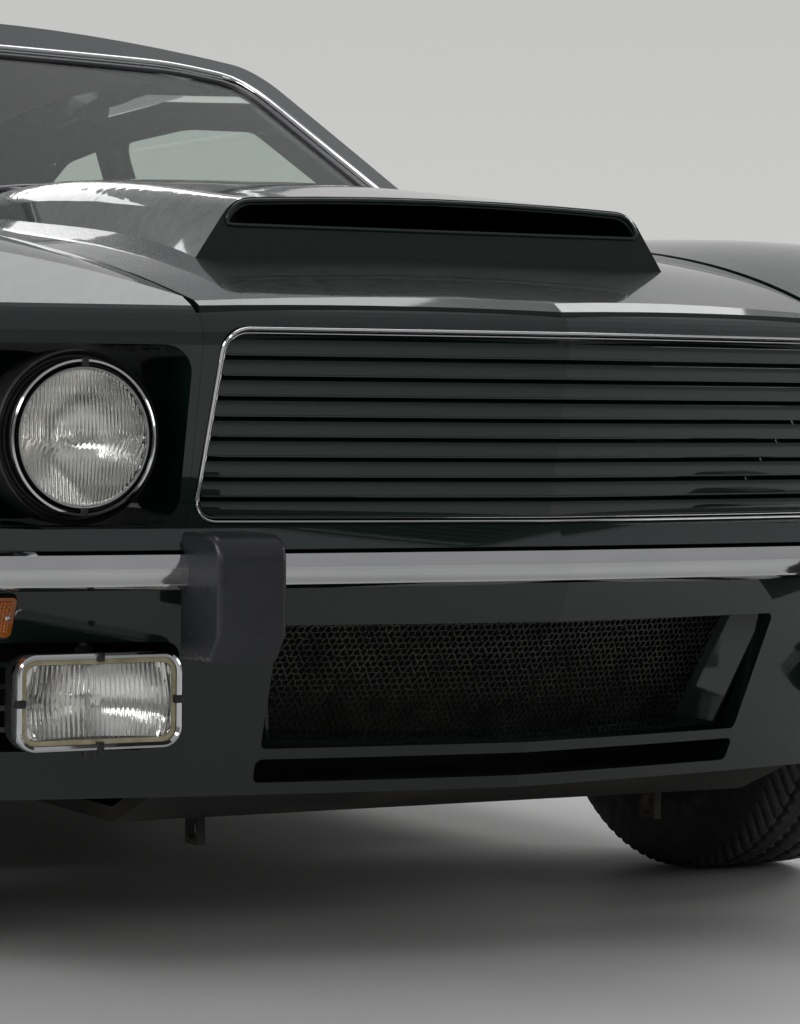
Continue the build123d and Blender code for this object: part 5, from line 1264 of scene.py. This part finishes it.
build("carpets", pair(side_carpet) + tunnel_carpet, carpet, "trim", sharp=40)
INWARDS, CARD_X = np.array((1, 0, 0)), 0.50
card = lined("door_left", np.linspace(station(1590), station(2630), 40), np.linspace(0.30, 0.88, 24),
             lambda y, z: (CARD_X, y, z), INWARDS, 0.003)
armrest = [bar((0.700, station(1990), 0.560), (0.776, station(2390), 0.615), 0.014)]


def on_card(stations, heights, width, height):
    """A half-round strip laid on the door card along these stations and heights."""
    spots = [(CARD_X, station(s), z) for s, z in np.broadcast(stations, heights)]
    path, facing = onto(["door_left"], spots, INWARDS)
    return strip(path - 0.0045 * INWARDS, smoothed(facing, False), width, height, 0.003, False)


fluting = [on_card(s, np.linspace(0.640, 0.860, 14), 0.046, 0.006) for s in np.arange(1680, 2580, 60)]
rail = [on_card(np.linspace(1610, 2610, 40), 0.630, 0.010, 0.004)]
pocket = [bar((0.735, station(1680), 0.330), (0.782, station(2200), 0.470), 0.012)]
winder = [rod([(0.735, station(2080), 0.700), (0.770, station(2080), 0.700)], 0.008),
          rod([(0.742, station(2080), 0.700), (0.742, station(2150), 0.665)], 0.005)]
for side, turn in (("left", list), ("right", opposite)):
    door = "door_" + side
    build("door_card_" + side, turn(card), hide, "leather", door, 40)
    build("door_card_flutes_" + side, turn(fluting), hide, "leather", door, 50)
    build("door_card_rail_" + side, turn(rail), chrome, "chrome", door)
    build("door_pocket_" + side, turn(pocket), hide, "leather", door)
    build("armrest_" + side, turn(armrest), hide, "leather", door)
    build("window_winder_" + side, turn(winder), chrome, "chrome", door)
gear_stick = rod([(0, station(1990), 0.405), (0, station(1975), 0.53)], 0.006)
knob = turned([(-0.020, 0.0), (-0.018, 0.012), (-0.006, 0.021), (0.008, 0.021), (0.018, 0.012),
               (0.021, 0.0)],
              (0, station(1974), 0.545), 2, 28)
gaiter = turned([(0.0, 0.0), (0.0, 0.062), (0.012, 0.058), (0.018, 0.046), (0.028, 0.047), (0.034, 0.034),
                 (0.046, 0.034), (0.054, 0.016), (0.070, 0.010), (0.070, 0.0)], (0, station(1988), 0.4045),
                 2, 32)
build("gear_lever", [gear_stick, knob], black, "trim")
build("gear_gaiter", [gaiter], hide, "leather")


# Underside: floor, frame and wheel tubs under a thick sprayed coat of black stone guard, clouded
# with brown dust; the axle and suspension in satin black, the knuckles and springs bare steel.
guard = made_of("stone_guard", {"Specular IOR Level": 0.3},
                ((5, 6), (0.010, 0.010, 0.010), (0.050, 0.044, 0.036), 0.4, 0.75), ((5, 6), 0.6, 0.9),
                ((220, 5), 0.0008, 0.7))
for nodes, mat, slot in (("front_frame floor_pan rear_floor", guard, "black_metal"),
                         ("front_suspension rear_axle", black, "black_metal"),
                         ("knuckle_left knuckle_right", steel, "steel")):
    for node in nodes.split():
        coat(node, mat, slot)


def coil(radius, wire, low, high, turns, x, y):
    """A coil spring of round wire about an upright axis."""
    t = np.linspace(0, 1, int(turns * 26))
    angle = 2 * pi * turns * t
    height = low + (high - low) * t
    path = np.stack([x + radius * np.cos(angle), y + radius * np.sin(angle), height], -1)
    return carried(path, strand(wire, wire, 8))


spring = coil(0.051, 0.012, 0.300, 0.545, 6.5, 0.528, FRONT_Y)
build("front_springs", pair([spring]), steel, "black_metal")


# Exhaust: two aluminised steel pipes and silencers, browned in patches by heat, with plated
# tail trims pushed over their ends and steel clamps round them.
pipe_metal = made_of("aluminised_steel", {"Metallic": 0.9},
                     ((4, 6, (1, 0.4, 1)), (0.16, 0.13, 0.11), (0.36, 0.35, 0.34)), ((40, 5), 0.35, 0.6),
                     ((150, 4), 0.0003, 0.5))
coat("exhaust", pipe_metal, "steel")
PIPE_X, PIPE_Z = 0.220, 0.166
tail = (PIPE_X, station(4550), PIPE_Z)
trim = turned([(-0.090, 0.0226), (-0.086, 0.0262), (0.006, 0.0270), (0.009, 0.0258), (0.006, 0.0236),
               (-0.080, 0.0226)],
              tail, 1, 40, True)
# A black disc just inside each trim closes the pipe's mouth: its black is the bore's soot and painted shade
# of the bore's depth.
soot_and_bore_shade = turned([(0.0004, 0.0), (0.0004, 0.0215), (0.0010, 0.0215), (0.0010, 0.0)], tail, 1, 32)
clamp = [(-0.012, 0.0224), (-0.012, 0.0246), (0.012, 0.0246), (0.012, 0.0224)]
clamps = [turned(clamp, (PIPE_X, station(s), PIPE_Z), 1, 32, True) for s in (1500, 2050, 3050, 4200)]
build("exhaust_trims", pair([trim]), chrome, "steel")
build("exhaust_bores", pair([soot_and_bore_shade]), black, "steel")
build("exhaust_clamps", pair(clamps), steel, "steel")


# Engine bay: an aluminium vee engine under two black cam covers with plated nuts, a wide air
# box between them, rubber hoses, a finned radiator with its fan, a battery and a washer bottle.
cast = made_of("cast_aluminium", {"Metallic": 0.8}, ((18, 5), (0.22, 0.22, 0.21), (0.42, 0.42, 0.41)),
               ((60, 5), 0.4, 0.6), ((300, 4), 0.0005, 0.6))
coat("engine", cast, "engine")
covers, nuts = [], []
cover_nut = [(-0.004, 0.0), (-0.004, 0.009), (0.005, 0.009), (0.008, 0.0)]
for middle in (0.190, -0.190):
    covers.append(bar((middle - 0.075, station(590), 0.8004), (middle + 0.075, station(1190), 0.836), 0.012))
    nuts += [turned(cover_nut, (middle, station(s), 0.8375), 2, 6) for s in range(640, 1180, 90)]
    for x in middle + 0.028 * np.arange(-2, 3):
        covers.append(bar((x - 0.003, station(620), 0.8355), (x + 0.003, station(1160), 0.8405), 0.0015))
build("cam_covers", covers, black, "engine")
build("cam_cover_nuts", nuts, chrome, "engine")
air_box = [bar((-0.105, station(640), 0.8004), (0.105, station(1130), 0.852), 0.02)]
for s in (700, 860, 1020):
    air_box.append(bar((-0.020, station(s), 0.851), (0.020, station(s + 60), 0.857), 0.004))
build("air_box", air_box, cast, "engine")


def hose(radius, ribs, *points):
    """A hose along a smooth curve through (x, station, z) points, its radius waving by a share."""
    path = curved(*((x, station(s), z) for x, s, z in points), 90)
    verts, quads, lids = carried(path, strand(2 * radius, 2 * radius, 16))
    wave = 1 + ribs * np.sin(np.arange(90) * 2.1)
    verts = (verts.reshape(90, 16, 3) - path[:, None]) * wave[:, None, None] + path[:, None]
    return verts.reshape(-1, 3), quads, lids


hoses = [hose(0.020, 0.05, (0.12, 304, 0.700), (0.12, 420, 0.730), (0.05, 470, 0.700), (0.05, 560, 0.680)),
         hose(0.022, 0.05, (-0.15, 304, 0.330), (-0.15, 400, 0.330), (-0.12, 450, 0.420),
              (-0.10, 556, 0.450)),
         hose(0.011, 0.0, (0.250, 1200, 0.780), (0.33, 1260, 0.800), (0.36, 1300, 0.760),
              (0.36, 1376, 0.700))]
build("coolant_hoses", hoses, rubber, "rubber")
fins = [bar((x, station(303), 0.290), (x + 0.0012, station(309), 0.680), 0.0003)
        for x in np.arange(-0.300, 0.301, 0.006)]
tank = [bar((-0.310, station(303), 0.678), (0.310, station(345), 0.735), 0.012),
        bar((-0.310, station(303), 0.240), (0.310, station(345), 0.290), 0.012)]
build("radiator_core", fins + tank, black, "black_metal")
FAN = (0, station(420), 0.500)
blades = []
for angle in np.arange(7) * 2 * pi / 7:
    radius = np.linspace(0.030, 0.170, 8)[:, None]
    chord = 0.022 + 0.10 * radius
    sign, thick = np.array(((-1, 0, 1, 0), (0.0, 0.0015, 0.0, -0.0015)))
    along = sign * chord * cos(radians(28)) / 2
    fore = sign * chord * sin(radians(28)) / 2 + thick
    grid = np.stack([radius * cos(angle) - along * sin(angle), fore,
                     radius * sin(angle) + along * cos(angle)], -1)
    blades.append(surface(grid + FAN, tube=True, ends=True))
fan_hub = turned([(-0.03, 0.0), (-0.03, 0.032), (0.02, 0.040), (0.123, 0.040), (0.123, 0.0)], FAN, 1, 32)
build("radiator_fan", blades + [fan_hub], black, "engine")
battery = [bar((-0.440, station(1215), 0.640), (-0.345, station(1370), 0.800), 0.006),
           bar((-0.452, station(1205), 0.380), (-0.335, station(1376), 0.639), 0.004)]
bottle = [bar((0.345, station(1225), 0.640), (0.440, station(1330), 0.790), 0.015),
          bar((0.340, station(1215), 0.380), (0.450, station(1376), 0.639), 0.004)]
build("battery_case", battery, black, "trim")
build("washer_bottle", bottle, white, "trim")


# Boot lining: dark cut-pile carpet glued down over the boot's floor. It follows the floor's
# shape, four millimetres above the steel.
boot_carpet = lined("rear_floor", np.linspace(-0.54, 0.54, 30),
                    np.linspace(station(3830), station(4440), 20),
                    lambda x, y: (x, y, 0.80), (0, 0, -1), 0.004)
build("boot_carpet", boot_carpet, carpet, "trim", sharp=40)
